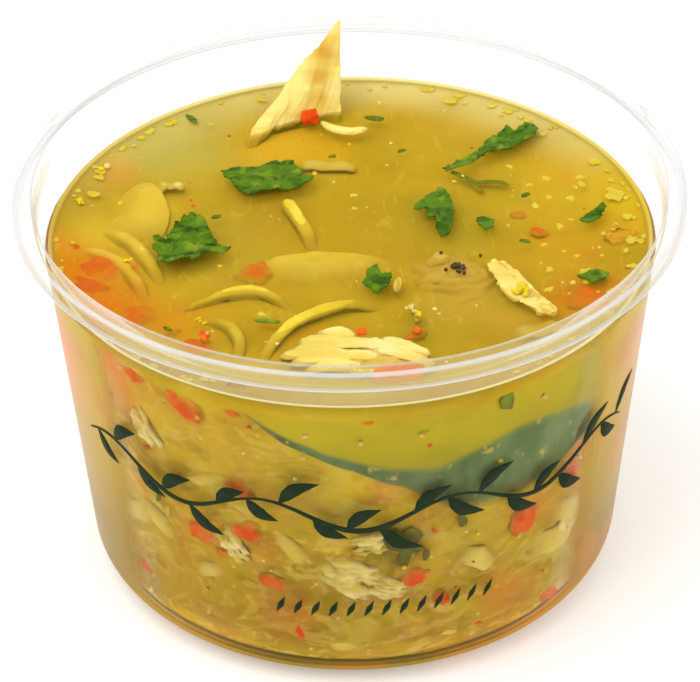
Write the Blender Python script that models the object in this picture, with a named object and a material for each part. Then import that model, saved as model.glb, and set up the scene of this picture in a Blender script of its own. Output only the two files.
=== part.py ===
"""Chicken noodle soup in its clear deli tub, a pint size, nearly full.

Metres, +Z up. The origin is the centre of the tub's base, on the surface it stands on, and -Y is the
side that faces the viewer. Every solid that breaks the soup's surface is its own object, and sits in a
pocket of the soup. Positions on the soup are (x, y, height above the soup's level).
"""

import math
import random

import bmesh
import bpy
from mathutils import Matrix, Vector, noise

MM = 0.001
GAP = 0.3 * MM  # between solids that touch in the real soup

# Tub: a moulded pint tub
RIM_RADIUS = 58.5 * MM
RIM_TOP = 74.2 * MM
RIM_SKIRT = 3.6 * MM  # how far the outer lip hangs below the rim's top
RIM_WIDTH = 3.4 * MM
BASE_RADIUS = 47.1 * MM  # where the corner meets the wall
BASE_CORNER = 8.4 * MM
FOOT_RADIUS = 38.4 * MM  # outer edge of the flat ring it stands on
FOOT_WIDTH = 4.2 * MM
FOOT_HEIGHT = 0.8 * MM
WALL = 0.7 * MM
WALL_RADIUS_AT_SOUP = 53.2 * MM  # outside of the wall at the soup's level
STACKING_STEP = 1.0 * MM
STEP_HEIGHT = 68.2 * MM
TUB_SEGMENTS = 48

# Soup
SOUP_LEVEL = 63.3 * MM
MENISCUS = 0.7 * MM
SOUP_SEGMENTS = 48

# Egg noodles
NOODLE_THICK = 1.9 * MM
NOODLE_SIDES = 8
NOODLE_STEPS = 13

# Shredded chicken
STRAND_SIDES = 7
STRAND_STEPS = 7

# Parsley
LEAF_THICK = 0.35 * MM
LEAF_LIFT = 0.4 * MM

COLOURS = {
    "clear_plastic": ((0.93, 0.94, 0.93), 0.12),
    "soup": ((0.55, 0.35, 0.035), 0.12),
    "noodle": ((0.82, 0.62, 0.08), 0.35),
    "chicken": ((0.88, 0.70, 0.28), 0.5),
    "carrot": ((0.78, 0.13, 0.01), 0.35),
    "parsley": ((0.045, 0.13, 0.01), 0.4),
    "onion": ((0.55, 0.26, 0.03), 0.4),
}


def material(name):
    """A plain Principled material in one of the food's colours."""
    found = bpy.data.materials.get(name)
    if found:
        return found
    colour, roughness = COLOURS[name]
    made = bpy.data.materials.new(name)
    made.use_nodes = True
    shader = made.node_tree.nodes["Principled BSDF"]
    shader.inputs["Base Color"].default_value = (*colour, 1)
    shader.inputs["Roughness"].default_value = roughness
    shader.inputs["Metallic"].default_value = 0
    return made


def new_object(name, bm, material_name, smooth_below=40):
    """Makes the bmesh a closed, outward-facing object in the scene."""
    bmesh.ops.remove_doubles(bm, verts=bm.verts, dist=0.001 * MM)
    bmesh.ops.recalc_face_normals(bm, faces=bm.faces)
    mesh = bpy.data.meshes.new(name)
    bm.to_mesh(mesh)
    bm.free()
    mesh.shade_smooth()
    mesh.set_sharp_from_angle(angle=math.radians(smooth_below))
    mesh.materials.append(material(material_name))
    made = bpy.data.objects.new(name, mesh)
    bpy.context.scene.collection.objects.link(made)
    return made


def on_soup(point_mm):
    """A point given as millimetres across the soup and above its level."""
    x, y, height = point_mm
    return Vector((x * MM, y * MM, SOUP_LEVEL + height * MM))


def smooth_path(points, count):
    """Evenly spaced points on a Catmull-Rom curve through the given ones."""
    ends = [2 * points[0] - points[1], *points, 2 * points[-1] - points[-2]]
    dense = []
    for before, start, end, after in zip(ends, ends[1:], ends[2:], ends[3:]):
        for k in range(20):
            t = k / 20
            dense.append(
                0.5 * (2 * start + (end - before) * t
                       + (2 * before - 5 * start + 4 * end - after) * t**2
                       + (3 * start - before - 3 * end + after) * t**3)
            )
    dense.append(points[-1])
    lengths = [0.0]
    for a, b in zip(dense, dense[1:]):
        lengths.append(lengths[-1] + (b - a).length)
    path, index = [], 0
    for k in range(count):
        wanted = lengths[-1] * k / (count - 1)
        while index < len(dense) - 2 and lengths[index + 1] < wanted:
            index += 1
        span = lengths[index + 1] - lengths[index]
        path.append(dense[index].lerp(dense[index + 1], (wanted - lengths[index]) / span))
    return path


def tangent(path, k):
    return (path[min(k + 1, len(path) - 1)] - path[max(k - 1, 0)]).normalized()


def skin_rings(bm, rings):
    """Joins rings of equal point count, one after another, and caps both ends."""
    made = [[bm.verts.new(p) for p in ring] for ring in rings]
    for low, high in zip(made, made[1:]):
        for k in range(len(low)):
            after = (k + 1) % len(low)
            bm.faces.new((low[k], low[after], high[after], high[k]))
    bm.faces.new(made[0][::-1])
    bm.faces.new(made[-1])


def oval(sides, squareness=1.0):
    """Points of a unit oval; squareness under 1 fills its corners."""
    for k in range(sides):
        angle = 2 * math.pi * (k + 0.5) / sides
        c, s = math.cos(angle), math.sin(angle)
        yield (math.copysign(abs(c) ** squareness, c), math.copysign(abs(s) ** squareness, s))


# Tub

def arc(centre, radius, start_deg, end_deg, steps):
    """Profile points (radius, height) along an arc."""
    for k in range(steps + 1):
        angle = math.radians(start_deg + (end_deg - start_deg) * k / steps)
        yield (centre[0] + radius * math.cos(angle), centre[1] + radius * math.sin(angle))


def wall_radius(height):
    """Outside radius of the straight, tapered wall at a height."""
    slope = (WALL_RADIUS_AT_SOUP - BASE_RADIUS) / (SOUP_LEVEL - BASE_CORNER)
    return BASE_RADIUS + (height - BASE_CORNER) * slope


def turned(bm, profile, segments):
    """Spins a profile whose two ends lie on the axis into a closed solid."""
    points = [bm.verts.new((radius, 0, height)) for radius, height in profile]
    edges = [bm.edges.new(pair) for pair in zip(points, points[1:])]
    bmesh.ops.spin(
        bm, geom=points + edges, cent=(0, 0, 0), axis=(0, 0, 1), dvec=(0, 0, 0),
        angle=2 * math.pi, steps=segments, use_merge=True, use_duplicate=False,
    )
    bmesh.ops.remove_doubles(bm, verts=bm.verts, dist=0.001 * MM)


def tub_profile():
    foot_inner = FOOT_RADIUS - FOOT_WIDTH
    corner = (BASE_RADIUS - BASE_CORNER, BASE_CORNER)
    lip_round = 1.3 * MM
    inner_edge = RIM_RADIUS - RIM_WIDTH
    step_bottom = STEP_HEIGHT - 0.9 * MM
    outside = [
        (0, FOOT_HEIGHT),
        (foot_inner - FOOT_HEIGHT, FOOT_HEIGHT),
        (foot_inner, 0),
        *arc(corner, BASE_CORNER, -90, -4, 6),
        (wall_radius(SOUP_LEVEL * 0.5), SOUP_LEVEL * 0.5),
        (wall_radius(step_bottom), step_bottom),
        (wall_radius(STEP_HEIGHT) + STACKING_STEP, STEP_HEIGHT + 0.5 * MM),
    ]
    flange_root = wall_radius(STEP_HEIGHT) + STACKING_STEP + 0.25 * MM
    rim = [
        (flange_root, RIM_TOP - RIM_SKIRT + 0.5 * MM),
        (RIM_RADIUS - 1.6 * MM, RIM_TOP - RIM_SKIRT + 0.6 * MM),
        (RIM_RADIUS - 1.1 * MM, RIM_TOP - RIM_SKIRT),
        (RIM_RADIUS - 0.2 * MM, RIM_TOP - RIM_SKIRT),
        (RIM_RADIUS, RIM_TOP - RIM_SKIRT + 0.5 * MM),
        *arc((RIM_RADIUS - lip_round, RIM_TOP - lip_round), lip_round, 0, 90, 4),
        *arc((inner_edge + 0.6 * MM, RIM_TOP - 0.6 * MM), 0.6 * MM, 90, 180, 2),
    ]
    inside = [
        (wall_radius(STEP_HEIGHT) + STACKING_STEP - WALL, STEP_HEIGHT + 0.9 * MM),
        (wall_radius(step_bottom) - WALL, step_bottom + 0.4 * MM),
        (wall_radius(SOUP_LEVEL) - WALL, SOUP_LEVEL),
        (wall_radius(SOUP_LEVEL * 0.5) - WALL, SOUP_LEVEL * 0.5),
        *arc(corner, BASE_CORNER - WALL, -4, -90, 6),
        (0, WALL + FOOT_HEIGHT),
    ]
    return outside + rim + inside


def make_tub():
    bm = bmesh.new()
    turned(bm, tub_profile(), TUB_SEGMENTS)
    return new_object("tub", bm, "clear_plastic", 30)


# Soup

def soup_radius(height):
    return wall_radius(height) - WALL - GAP


def soup_profile():
    corner = (BASE_RADIUS - BASE_CORNER, BASE_CORNER)
    edge = soup_radius(SOUP_LEVEL)
    return [
        (0, WALL + FOOT_HEIGHT + GAP),
        (corner[0] - 6 * MM, WALL + FOOT_HEIGHT + GAP),
        *arc(corner, BASE_CORNER - WALL - GAP, -84, -4, 5),
        (soup_radius(SOUP_LEVEL * 0.5), SOUP_LEVEL * 0.5),
        (soup_radius(SOUP_LEVEL + MENISCUS), SOUP_LEVEL + MENISCUS),
        (edge - 0.8 * MM, SOUP_LEVEL + 0.2 * MM),
        (edge - 2.2 * MM, SOUP_LEVEL),
        (edge * 0.5, SOUP_LEVEL),
        (0, SOUP_LEVEL),
    ]


def hidden_collection(name):
    made = bpy.data.collections.new(name)
    bpy.context.scene.collection.children.link(made)
    return made


def hide_as_guide(guide, collection):
    for owner in list(guide.users_collection):
        owner.objects.unlink(guide)
    collection.objects.link(guide)
    guide.hide_render = True
    guide.display_type = "WIRE"


def swollen_copy(piece, collection):
    """A cutter: the piece grown by a little more than the gap on every side."""
    bm = bmesh.new()
    bm.from_mesh(piece.data)
    bm.normal_update()
    grown = [(v, v.co + v.normal * GAP * 1.15 * v.calc_shell_factor()) for v in bm.verts]
    for v, place in grown:
        v.co = place
    cutter = new_object(piece.name + "_pocket", bm, "soup")
    hide_as_guide(cutter, collection)


def herb_flecks(collection):
    """Chopped herb and pepper specks, small enough to be part of the soup's own skin."""
    specks = [
        (-28.4, 39.9, 20, 1.5), (4.8, 39.2, 5, 1.6), (-31.1, -28.4, 70, 1.3), (-14.3, -26.0, -25, 1.7),
        (33.4, 1.6, 0, 1.1), (31.0, 12.5, 30, 1.0), (-23.5, 7.0, 0, 0.9), (9.5, 28.0, 60, 0.8),
        (30.5, -2.5, 15, 1.0), (-3.0, 26.5, 40, 0.9),
    ]
    for index, (x, y, turn, reach) in enumerate(specks):
        bm = bmesh.new()
        bmesh.ops.create_icosphere(bm, subdivisions=1, radius=MM)
        bmesh.ops.scale(bm, vec=(reach, reach * 0.5, 0.35), verts=bm.verts)
        bmesh.ops.rotate(bm, matrix=Matrix.Rotation(math.radians(turn), 3, "Z"), verts=bm.verts)
        bmesh.ops.translate(bm, vec=on_soup((x, y, 0)), verts=bm.verts)
        hide_as_guide(new_object(f"speck_{index}", bm, "parsley"), collection)


def make_soup(pieces):
    """The soup up to its level, with a pocket for every piece that breaks the surface."""
    bm = bmesh.new()
    turned(bm, soup_profile(), SOUP_SEGMENTS)
    soup = new_object("broth", bm, "soup", 30)
    pockets, specks = hidden_collection("pockets"), hidden_collection("specks")
    herb_flecks(specks)
    for piece in pieces:
        swollen_copy(piece, pockets)
    chicken_pockets(pockets)
    for operation, collection in (("UNION", specks), ("DIFFERENCE", pockets)):
        change = soup.modifiers.new(operation.lower(), "BOOLEAN")
        change.operand_type = "COLLECTION"
        change.collection = collection
        change.operation = operation
        change.solver = "EXACT"
    return soup


# Noodles

def make_noodle(name, edge, width, lean_deg, thick=NOODLE_THICK, ripple=0.35, ripples=3.0):
    """A flat egg noodle. Its upper edge follows the given points, and its width hangs below that edge,
    leaning from upright by lean_deg; the free edge ripples as cooked noodles do."""
    path = smooth_path([on_soup(p) for p in edge], NOODLE_STEPS)
    lean, up, rings = math.radians(lean_deg), Vector((0, 0, 1)), []
    for k, top in enumerate(path):
        along = tangent(path, k)
        side = along.cross(up).normalized()
        down = (side * math.sin(lean) - up * math.cos(lean)).normalized()
        flat = along.cross(down).normalized()
        t = k / (NOODLE_STEPS - 1)
        taper = min(1.0, 0.72 + 4 * min(t, 1 - t))
        wave = ripple * MM * math.sin(2 * math.pi * ripples * t)
        middle = top + down * width * MM / 2
        rings.append([
            middle + down * (width * MM / 2 * a * taper) + flat * (thick / 2 * b * taper + wave * (0.5 + 0.5 * a))
            for a, b in oval(NOODLE_SIDES, 0.55)
        ])
    bm = bmesh.new()
    skin_rings(bm, rings)
    return new_object(name, bm, "noodle")


def make_noodles():
    """Name, upper edge, width and lean of every noodle that breaks the surface."""
    made = [
        make_noodle("noodle_arch_left", [(-34, -20.6, -1.6), (-27, -17.7, 0.3), (-19.8, -14.9, 1.5),
                                         (-14.5, -16.4, 1.0), (-10.4, -20.4, -1.2)], 6.0, 0),
        make_noodle("noodle_arch_front", [(-15.6, -38.2, -1.4), (-12.6, -31, 0.7), (-8.4, -25.9, 1.6),
                                          (-3.0, -22.4, 1.5), (2.4, -20.6, 0.3), (6.6, -21.0, -1.6)], 5.0, -32,
                    thick=2.3 * MM),
        make_noodle("noodle_ring", [(-28.6, -22.6, -1.6), (-24.3, -23.0, -0.2), (-20.4, -26.2, 0.7),
                                    (-18.7, -31.0, 0.6), (-19.6, -36.6, -0.9)], 5.5, 12, thick=2.6 * MM),
        make_noodle("noodle_stub", [(-11.1, 12.6, 1.2), (-9.6, 8.8, 1.3), (-7.5, 3.2, 0.8), (-6.3, -2.0, -0.9)],
                    2.7, 10, thick=2.5 * MM, ripple=0),
        make_noodle("noodle_slab", [(-20.4, -6.8, -0.6), (-15.0, -5.4, 0.5), (-7.5, -4.9, 0.9),
                                    (0.0, -6.2, 0.7), (4.6, -9.2, -0.7)], 9.0, 78),
        make_noodle("noodle_fold", [(-45.5, 22.6, -1.2), (-41.5, 22.8, 0.2), (-37.4, 21.2, 1.0),
                                    (-33.8, 17.6, 0.9), (-31.9, 12.8, 0.0), (-31.6, 9.0, -1.4)], 7.5, 70,
                    ripple=0.5, ripples=1.5),
        make_noodle("noodle_curl_back", [(-44.6, 6.2, -0.8), (-40.2, 3.2, 0.8), (-36.6, -1.6, 1.1),
                                         (-33.8, -7.6, 0.6), (-32.0, -13.2, -1.0)], 6.0, 16),
        make_noodle("noodle_curl_front", [(-49.6, -1.6, -0.7), (-45.4, -1.7, 0.4), (-41.4, -4.2, 0.8),
                                          (-38.0, -8.9, 0.7), (-35.9, -14.4, 0.0), (-35.6, -18.0, -1.4)], 6.0, 10),
    ]
    return made


# Chicken

def strand(bm, points, width, thick, seed, grow=0.0):
    """One tapered, slightly flattened bundle of muscle fibre."""
    path = smooth_path(points, STRAND_STEPS)
    path[0] = path[0] - tangent(path, 0) * grow
    path[-1] = path[-1] + tangent(path, len(path) - 1) * grow
    rings = []
    for k, centre in enumerate(path):
        along = tangent(path, k)
        side = along.cross(Vector((0, 0, 1))).normalized()
        up = side.cross(along).normalized()
        t = k / (STRAND_STEPS - 1)
        fat = max(0.3, math.sin(math.pi * (0.1 + 0.8 * t)) ** 0.55)
        ring = []
        for a, b in oval(STRAND_SIDES):
            rough = fat * (1 + 0.2 * noise.noise(Vector((a * 1.3 + seed * 3.1, b * 1.3, t * 4))))
            ring.append(centre + side * a * (width * MM / 2 * rough + grow) + up * b * (thick * MM / 2 * rough + grow))
        rings.append(ring)
    skin_rings(bm, rings)


def fused(name, strands, triangles, grow=0.0, voxel=0.42):
    """Melts overlapping strands into one closed skin and thins its faces."""
    bm = bmesh.new()
    for index, (points, width, thick) in enumerate(strands):
        strand(bm, points, width, thick, index, grow)
    lump = new_object(name + "_strands", bm, "chicken")
    melt = lump.modifiers.new("melt", "REMESH")
    melt.mode = "VOXEL"
    melt.voxel_size = voxel * MM
    thin = lump.modifiers.new("thin", "DECIMATE")
    melted = lump.evaluated_get(bpy.context.evaluated_depsgraph_get()).to_mesh()
    made = sum(len(p.vertices) - 2 for p in melted.polygons)
    thin.ratio = min(1.0, triangles / made)
    bm = bmesh.new()
    bm.from_mesh(lump.evaluated_get(bpy.context.evaluated_depsgraph_get()).to_mesh())
    bmesh.ops.triangulate(bm, faces=bm.faces)
    bpy.data.objects.remove(lump)
    return new_object(name, bm, "chicken")


# The flap: foot and top edge from its left tail to the point that leans on the back wall
FLAP_FOOT = [(-18.6, 32.0, -2.6), (-15.9, 35.6, -2.8), (-12.4, 38.4, -2.9), (-8.0, 39.8, -2.9), (-4.6, 40.6, -2.8),
             (-1.4, 40.8, -2.6)]
FLAP_TOP = [(-18.0, 33.2, -0.9), (-15.8, 38.2, 1.8), (-12.2, 42.6, 6.2), (-8.9, 44.8, 8.4), (-5.4, 46.4, 11.2),
            (-1.0, 48.9, 15.6)]
FLAP_ACROSS = 18
FLAP_UP = 9


def make_flap(name="chicken_flap"):
    """A torn sheet of meat that rises from a crescent on the soup; its fibres run up to the point."""
    foot = smooth_path([on_soup(p) for p in FLAP_FOOT], FLAP_ACROSS + 1)
    top = smooth_path([on_soup(p) for p in FLAP_TOP], FLAP_ACROSS + 1)
    bm = bmesh.new()
    faces = {-1: [], 1: []}
    for i, (low, high) in enumerate(zip(foot, top)):
        s = i / FLAP_ACROSS
        along = (tangent(foot, i) + tangent(top, i)).normalized()
        out = along.cross(high - low).normalized()
        thick = (0.9 + 1.5 * math.sin(math.pi * min(1, s * 1.15 + 0.08)) ** 0.6) * MM
        for face in faces:
            column = []
            for j in range(FLAP_UP + 1):
                t = j / FLAP_UP
                bulge = 0.9 * MM * math.sin(math.pi * t) * math.sin(math.pi * s)
                fibre = 0.34 * MM * math.sin(2 * math.pi * (5.2 * s + 0.5 * t)) * (0.4 + 0.6 * math.sin(math.pi * s))
                fold = -0.7 * MM * math.exp(-((s - 0.62 - 0.1 * t) / 0.07) ** 2) * math.sin(math.pi * min(1, t * 1.1))
                edge = 0.35 + 0.65 * min(1.0, 5 * min(t, 1 - t) + 0.1) * min(1.0, 6 * min(s, 1 - s) + 0.15)
                ragged = 0.8 * MM * noise.noise(Vector((s * 9, 0, 0))) * t**3
                middle = low.lerp(high, t) + out * bulge + Vector((0, 0, ragged))
                column.append(bm.verts.new(middle + out * face * (thick / 2 * edge + (fibre + fold) * 0.5 * edge)))
            faces[face].append(column)
    for face, columns in faces.items():
        for i in range(FLAP_ACROSS):
            for j in range(FLAP_UP):
                bm.faces.new((columns[i][j], columns[i + 1][j], columns[i + 1][j + 1], columns[i][j + 1]))
    front, back = faces[1], faces[-1]
    rim = [(i, 0) for i in range(FLAP_ACROSS)] + [(FLAP_ACROSS, j) for j in range(FLAP_UP)]
    rim += [(i, FLAP_UP) for i in range(FLAP_ACROSS, 0, -1)] + [(0, j) for j in range(FLAP_UP, 0, -1)]
    for (i, j), (m, n) in zip(rim, rim[1:] + rim[:1]):
        bm.faces.new((front[i][j], front[m][n], back[m][n], back[i][j]))
    bmesh.ops.triangulate(bm, faces=bm.faces)
    return new_object(name, bm, "chicken")


HOOK = [([(-5.0, 39.2, -0.9), (-4.2, 37.0, -0.1), (-2.4, 34.9, 0.4), (-0.2, 33.8, 0.5), (2.0, 34.4, 0.4),
          (3.4, 36.0, -0.3)], 1.9, 1.8)]


def flaked_strands(centre, heading_deg, length, across, rows, layers, width, thick, top, seed):
    """Rows of fibres side by side, layer over layer, each layer shorter, like flaked breast meat."""
    draw = random.Random(seed)
    ahead = Vector((math.cos(math.radians(heading_deg)), math.sin(math.radians(heading_deg))))
    beside = Vector((-ahead.y, ahead.x))
    strands = []
    for layer in range(layers):
        in_row = max(2, rows - layer)
        for k in range(in_row):
            share = k / (in_row - 1) - 0.5
            half = length / 2 * (1 - 0.16 * layer) * draw.uniform(0.72, 1.05)
            slip, bend = draw.uniform(-0.12, 0.12) * length, draw.uniform(-1.0, 1.0)
            height = top - (layers - 1 - layer) * thick * 0.62 - 2.6 * share**2
            points = []
            for t in (-1, -0.4, 0.3, 1):
                spot = Vector(centre) + ahead * (slip + half * t) + beside * (
                    share * across * (1 - 0.1 * layer) + bend * (1 - t * t))
                points.append(on_soup((spot.x, spot.y, height - 1.3 * t * t)))
            strands.append((points, width * draw.uniform(0.85, 1.15), thick * draw.uniform(0.9, 1.1)))
    return strands


def lumps():
    """Name, strands and triangle count of every piece of chicken that is melted together."""
    hook = [([on_soup(p) for p in points], width, thick) for points, width, thick in HOOK]
    return [
        ("chicken_hook", hook, 220),
        ("chicken_front", flaked_strands((1.9, -34.0), -4, 19, 7.6, 4, 3, 3.3, 2.8, 1.0, 4), 1100),
        ("chicken_chunk", flaked_strands((15.6, -9.4), 12, 12.5, 6.5, 3, 3, 3.8, 3.2, -0.4, 11), 760),
        ("chicken_shred", flaked_strands((29.3, -15.3), -51, 15.5, 2.6, 2, 2, 3.0, 2.4, 0.5, 7), 460),
    ]


def make_chicken():
    return [fused(name, strands, triangles) for name, strands, triangles in lumps()]


def chicken_pockets(collection):
    for name, strands, triangles in lumps():
        pocket = fused(name + "_pocket", strands, triangles * 0.4, grow=GAP * 1.7, voxel=0.55)
        hide_as_guide(pocket, collection)


# Carrot and onion

def make_dice(name, centre, size, turn_deg, tilt_deg, material_name="carrot", seed=0):
    """A hand-cut cube with rounded, uneven corners."""
    draw = random.Random(seed)
    bm = bmesh.new()
    bmesh.ops.create_cube(bm, size=1)
    bmesh.ops.scale(bm, vec=[s * MM for s in size], verts=bm.verts)
    for v in bm.verts:
        v.co *= draw.uniform(0.9, 1.08)
    bmesh.ops.bevel(
        bm, geom=bm.edges[:], offset=min(size) * 0.16 * MM, offset_type="OFFSET", segments=2, profile=0.5,
        affect="EDGES", material=-1, clamp_overlap=True,
    )
    turn = Matrix.Rotation(math.radians(turn_deg), 3, "Z") @ Matrix.Rotation(math.radians(tilt_deg), 3, "X")
    bmesh.ops.rotate(bm, matrix=turn, verts=bm.verts)
    bmesh.ops.translate(bm, vec=on_soup(centre), verts=bm.verts)
    bmesh.ops.triangulate(bm, faces=bm.faces)
    return new_object(name, bm, material_name)


def make_dices():
    return [
        make_dice("carrot_by_flap", (-7.0, 37.0, 0.2), (2.9, 2.3, 2.2), 12, 8, seed=1),
        make_dice("carrot_front", (7.4, -41.3, -2.0), (8.0, 3.6, 5.2), 4, 8, seed=2),
        make_dice("carrot_right", (41.2, -20.2, -2.6), (7.4, 6.2, 6.4), -28, 6, seed=3),
        make_dice("onion_scrap", (47.0, -0.4, -0.5), (4.6, 3.4, 2.6), 35, 12, "onion", seed=5),
    ]


# Parsley

# Torn leaves: the middle, then the outline round it, in millimetres on the soup, with how much each curls
LEAVES = {
    "parsley_left": ((-27.9, -2.5), 2.2, [
        (-20.7, -5.6), (-23.0, -4.6), (-23.9, -1.7), (-25.0, 1.9), (-25.7, 4.1), (-26.8, 4.8), (-27.7, 5.8),
        (-28.4, 4.2), (-29.1, 4.9), (-29.6, 3.0), (-30.6, 3.6), (-30.6, 1.4), (-31.8, 0.4), (-32.0, -1.4),
        (-34.3, -1.4), (-33.6, -3.7), (-34.4, -4.9), (-33.3, -6.2), (-33.6, -8.1), (-32.2, -8.4), (-31.3, -10.0),
        (-29.5, -8.8), (-27.4, -8.6), (-25.7, -7.1), (-24.0, -6.5)]),
    "parsley_centre": ((-15.5, 18.6), 1.0, [
        (-6.3, 18.0), (-8.4, 19.7), (-9.5, 22.4), (-10.9, 24.2), (-13.2, 23.9), (-16.3, 22.6), (-19.5, 21.7),
        (-22.8, 21.2), (-21.2, 18.4), (-20.1, 15.7), (-18.7, 13.4), (-16.9, 13.3), (-14.1, 14.2), (-10.9, 14.8),
        (-8.4, 15.7)]),
    "parsley_middle": ((16.0, 7.5), 1.6, [
        (18.3, 6.4), (18.0, 9.7), (17.0, 12.0), (16.0, 14.0), (14.2, 12.1), (12.6, 9.5), (11.1, 7.3), (13.7, 6.5),
        (13.2, 5.6), (13.8, 3.9), (15.1, 4.6), (15.1, 0.0), (16.2, -1.0), (17.4, 0.3), (17.8, 3.2)]),
    "parsley_small": ((4.5, -15.1), 1.5, [
        (7.1, -13.3), (5.4, -13.6), (4.4, -11.4), (3.0, -12.3), (2.6, -15.1), (1.9, -17.8), (3.2, -17.9),
        (4.4, -18.8), (6.3, -17.4), (6.7, -15.5)]),
    "parsley_right": ((42.6, 4.7), 0.9, [
        (45.0, 6.9), (44.2, 7.6), (43.0, 6.0), (41.8, 5.4), (40.2, 3.2), (41.6, 2.5), (42.7, 2.8), (44.0, 4.4)]),
    "parsley_edge": ((41.4, -14.9), 0.5, [
        (44.3, -14.1), (42.8, -13.1), (41.1, -13.4), (38.8, -14.9), (40.3, -15.5), (41.3, -16.8), (43.2, -16.2)]),
    "parsley_stem": ((23.6, 2.4), 0.5, [
        (25.1, 1.4), (25.0, 3.3), (23.5, 4.6), (22.1, 4.3), (22.5, 2.4), (23.7, 0.4)]),
}
# The long sprig: its two edges from the left end to the right one
SPRIG = [
    [(16.7, 20.0), (18.5, 21.6), (20.9, 23.2), (23.1, 26.2), (25.1, 30.6), (26.7, 31.9), (28.6, 34.2), (30.0, 32.8),
     (31.7, 35.5), (33.5, 35.1)],
    [(17.4, 19.0), (20.1, 20.2), (22.1, 21.5), (23.1, 23.8), (24.5, 25.5), (26.2, 26.4), (28.5, 27.0), (30.8, 28.7),
     (33.0, 30.3), (34.2, 32.6)],
]
SPRIG_CURL = 1.4
LEAF_RINGS = 3
SPRIG_ROWS = 5


def thin_leaf(name, spots, triangles, curl, seed):
    """A wavy skin over flat points; both faces are split alike and its edge is closed."""
    middle = sum((Vector(p) for p in spots), Vector((0, 0))) / len(spots)
    reach = max((Vector(p) - middle).length for p in spots)
    bm = bmesh.new()
    low, high = [], []
    for x, y in spots:
        wave = 0.5 + 0.8 * noise.noise(Vector((x * 0.33, y * 0.33, seed)))
        out = (Vector((x, y)) - middle).length / reach
        height = curl * max(0.0, wave) * (0.45 + 0.55 * out)
        base = on_soup((x, y, height)) + Vector((0, 0, LEAF_LIFT))
        low.append(bm.verts.new(base))
        high.append(bm.verts.new(base + Vector((0, 0, LEAF_THICK))))
    edges = set()
    for corners in triangles:
        bm.faces.new([high[k] for k in corners])
        bm.faces.new([low[k] for k in corners[::-1]])
        edges |= {(a, b) for a, b in zip(corners, corners[1:] + corners[:1])}
    for a, b in edges:
        if (b, a) not in edges:
            bm.faces.new((low[a], low[b], high[b], high[a]))
    return new_object(name, bm, "parsley", 60)


def fan(centre, outline):
    """Points in rings from the middle to the outline, and the triangles between them."""
    middle, count = Vector(centre), len(outline) * 2
    rim = []
    for k, point in enumerate(outline):
        after = Vector(outline[(k + 1) % len(outline)])
        rim += [Vector(point), (Vector(point) + after) / 2 + ((Vector(point) + after) / 2 - middle) * 0.03]
    spots = [middle]
    for ring in range(1, LEAF_RINGS + 1):
        spots += [middle.lerp(p, ring / LEAF_RINGS) for p in rim]
    triangles = [(0, 1 + k, 1 + (k + 1) % count) for k in range(count)]
    for ring in range(LEAF_RINGS - 1):
        start = 1 + ring * count
        for k in range(count):
            a, b = start + k, start + (k + 1) % count
            triangles += [(a, a + count, b + count), (a, b + count, b)]
    return spots, triangles


def blade(upper, lower):
    """Points and triangles of a strip between two edges, one row of points per pair of ends."""
    spots, triangles = [], []
    for top, bottom in zip(upper, lower):
        spots += [Vector(bottom).lerp(Vector(top), k / (SPRIG_ROWS - 1)) for k in range(SPRIG_ROWS)]
    for column in range(len(upper) - 1):
        for k in range(SPRIG_ROWS - 1):
            a, b = column * SPRIG_ROWS + k, (column + 1) * SPRIG_ROWS + k
            triangles += [(a, b, b + 1), (a, b + 1, a + 1)]
    return spots, triangles


def make_leaves():
    made = []
    for seed, (name, (centre, curl, outline)) in enumerate(LEAVES.items()):
        made.append(thin_leaf(name, *fan(centre, outline), curl, seed * 2.7))
    made.append(thin_leaf("parsley_long", *blade(*SPRIG), SPRIG_CURL, 9.4))
    return made


def build():
    for old in list(bpy.data.objects):
        bpy.data.objects.remove(old)
    make_tub()
    floating = make_noodles() + make_dices() + [make_flap()]
    make_chicken()
    make_soup(floating)
    make_leaves()


build()
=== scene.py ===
import math
import random

import bmesh
import bpy
from mathutils import Matrix, Vector, noise


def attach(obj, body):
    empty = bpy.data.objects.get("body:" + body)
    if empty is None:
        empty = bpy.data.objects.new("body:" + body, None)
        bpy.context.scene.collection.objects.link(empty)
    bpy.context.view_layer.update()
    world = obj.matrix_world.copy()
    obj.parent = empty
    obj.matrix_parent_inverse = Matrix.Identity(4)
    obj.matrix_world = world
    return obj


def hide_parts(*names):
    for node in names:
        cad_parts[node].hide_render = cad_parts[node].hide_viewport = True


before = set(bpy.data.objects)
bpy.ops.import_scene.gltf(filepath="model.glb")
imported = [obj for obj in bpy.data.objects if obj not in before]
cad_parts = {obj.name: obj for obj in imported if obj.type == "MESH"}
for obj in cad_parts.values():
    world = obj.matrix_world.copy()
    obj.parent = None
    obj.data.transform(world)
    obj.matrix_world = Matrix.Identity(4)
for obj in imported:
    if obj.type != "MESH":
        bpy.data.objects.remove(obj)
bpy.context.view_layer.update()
mm = 0.001
print("frame loaded")


# Shader maths

class Wire:
    # an output socket; arithmetic on it adds Math nodes to its material
    def __init__(self, bench, socket):
        self.bench = bench
        self.socket = socket

    def other(self, name):
        return Wire(self.bench, self.socket.node.outputs[name])

    def __add__(self, value):
        return self.bench.sum("ADD", self, value)

    def __radd__(self, value):
        return self.bench.sum("ADD", value, self)

    def __sub__(self, value):
        return self.bench.sum("SUBTRACT", self, value)

    def __rsub__(self, value):
        return self.bench.sum("SUBTRACT", value, self)

    def __mul__(self, value):
        return self.bench.sum("MULTIPLY", self, value)

    def __rmul__(self, value):
        return self.bench.sum("MULTIPLY", value, self)

    def __pow__(self, value):
        return self.bench.sum("POWER", self, value)

    def __rpow__(self, value):
        return self.bench.sum("POWER", value, self)


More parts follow.
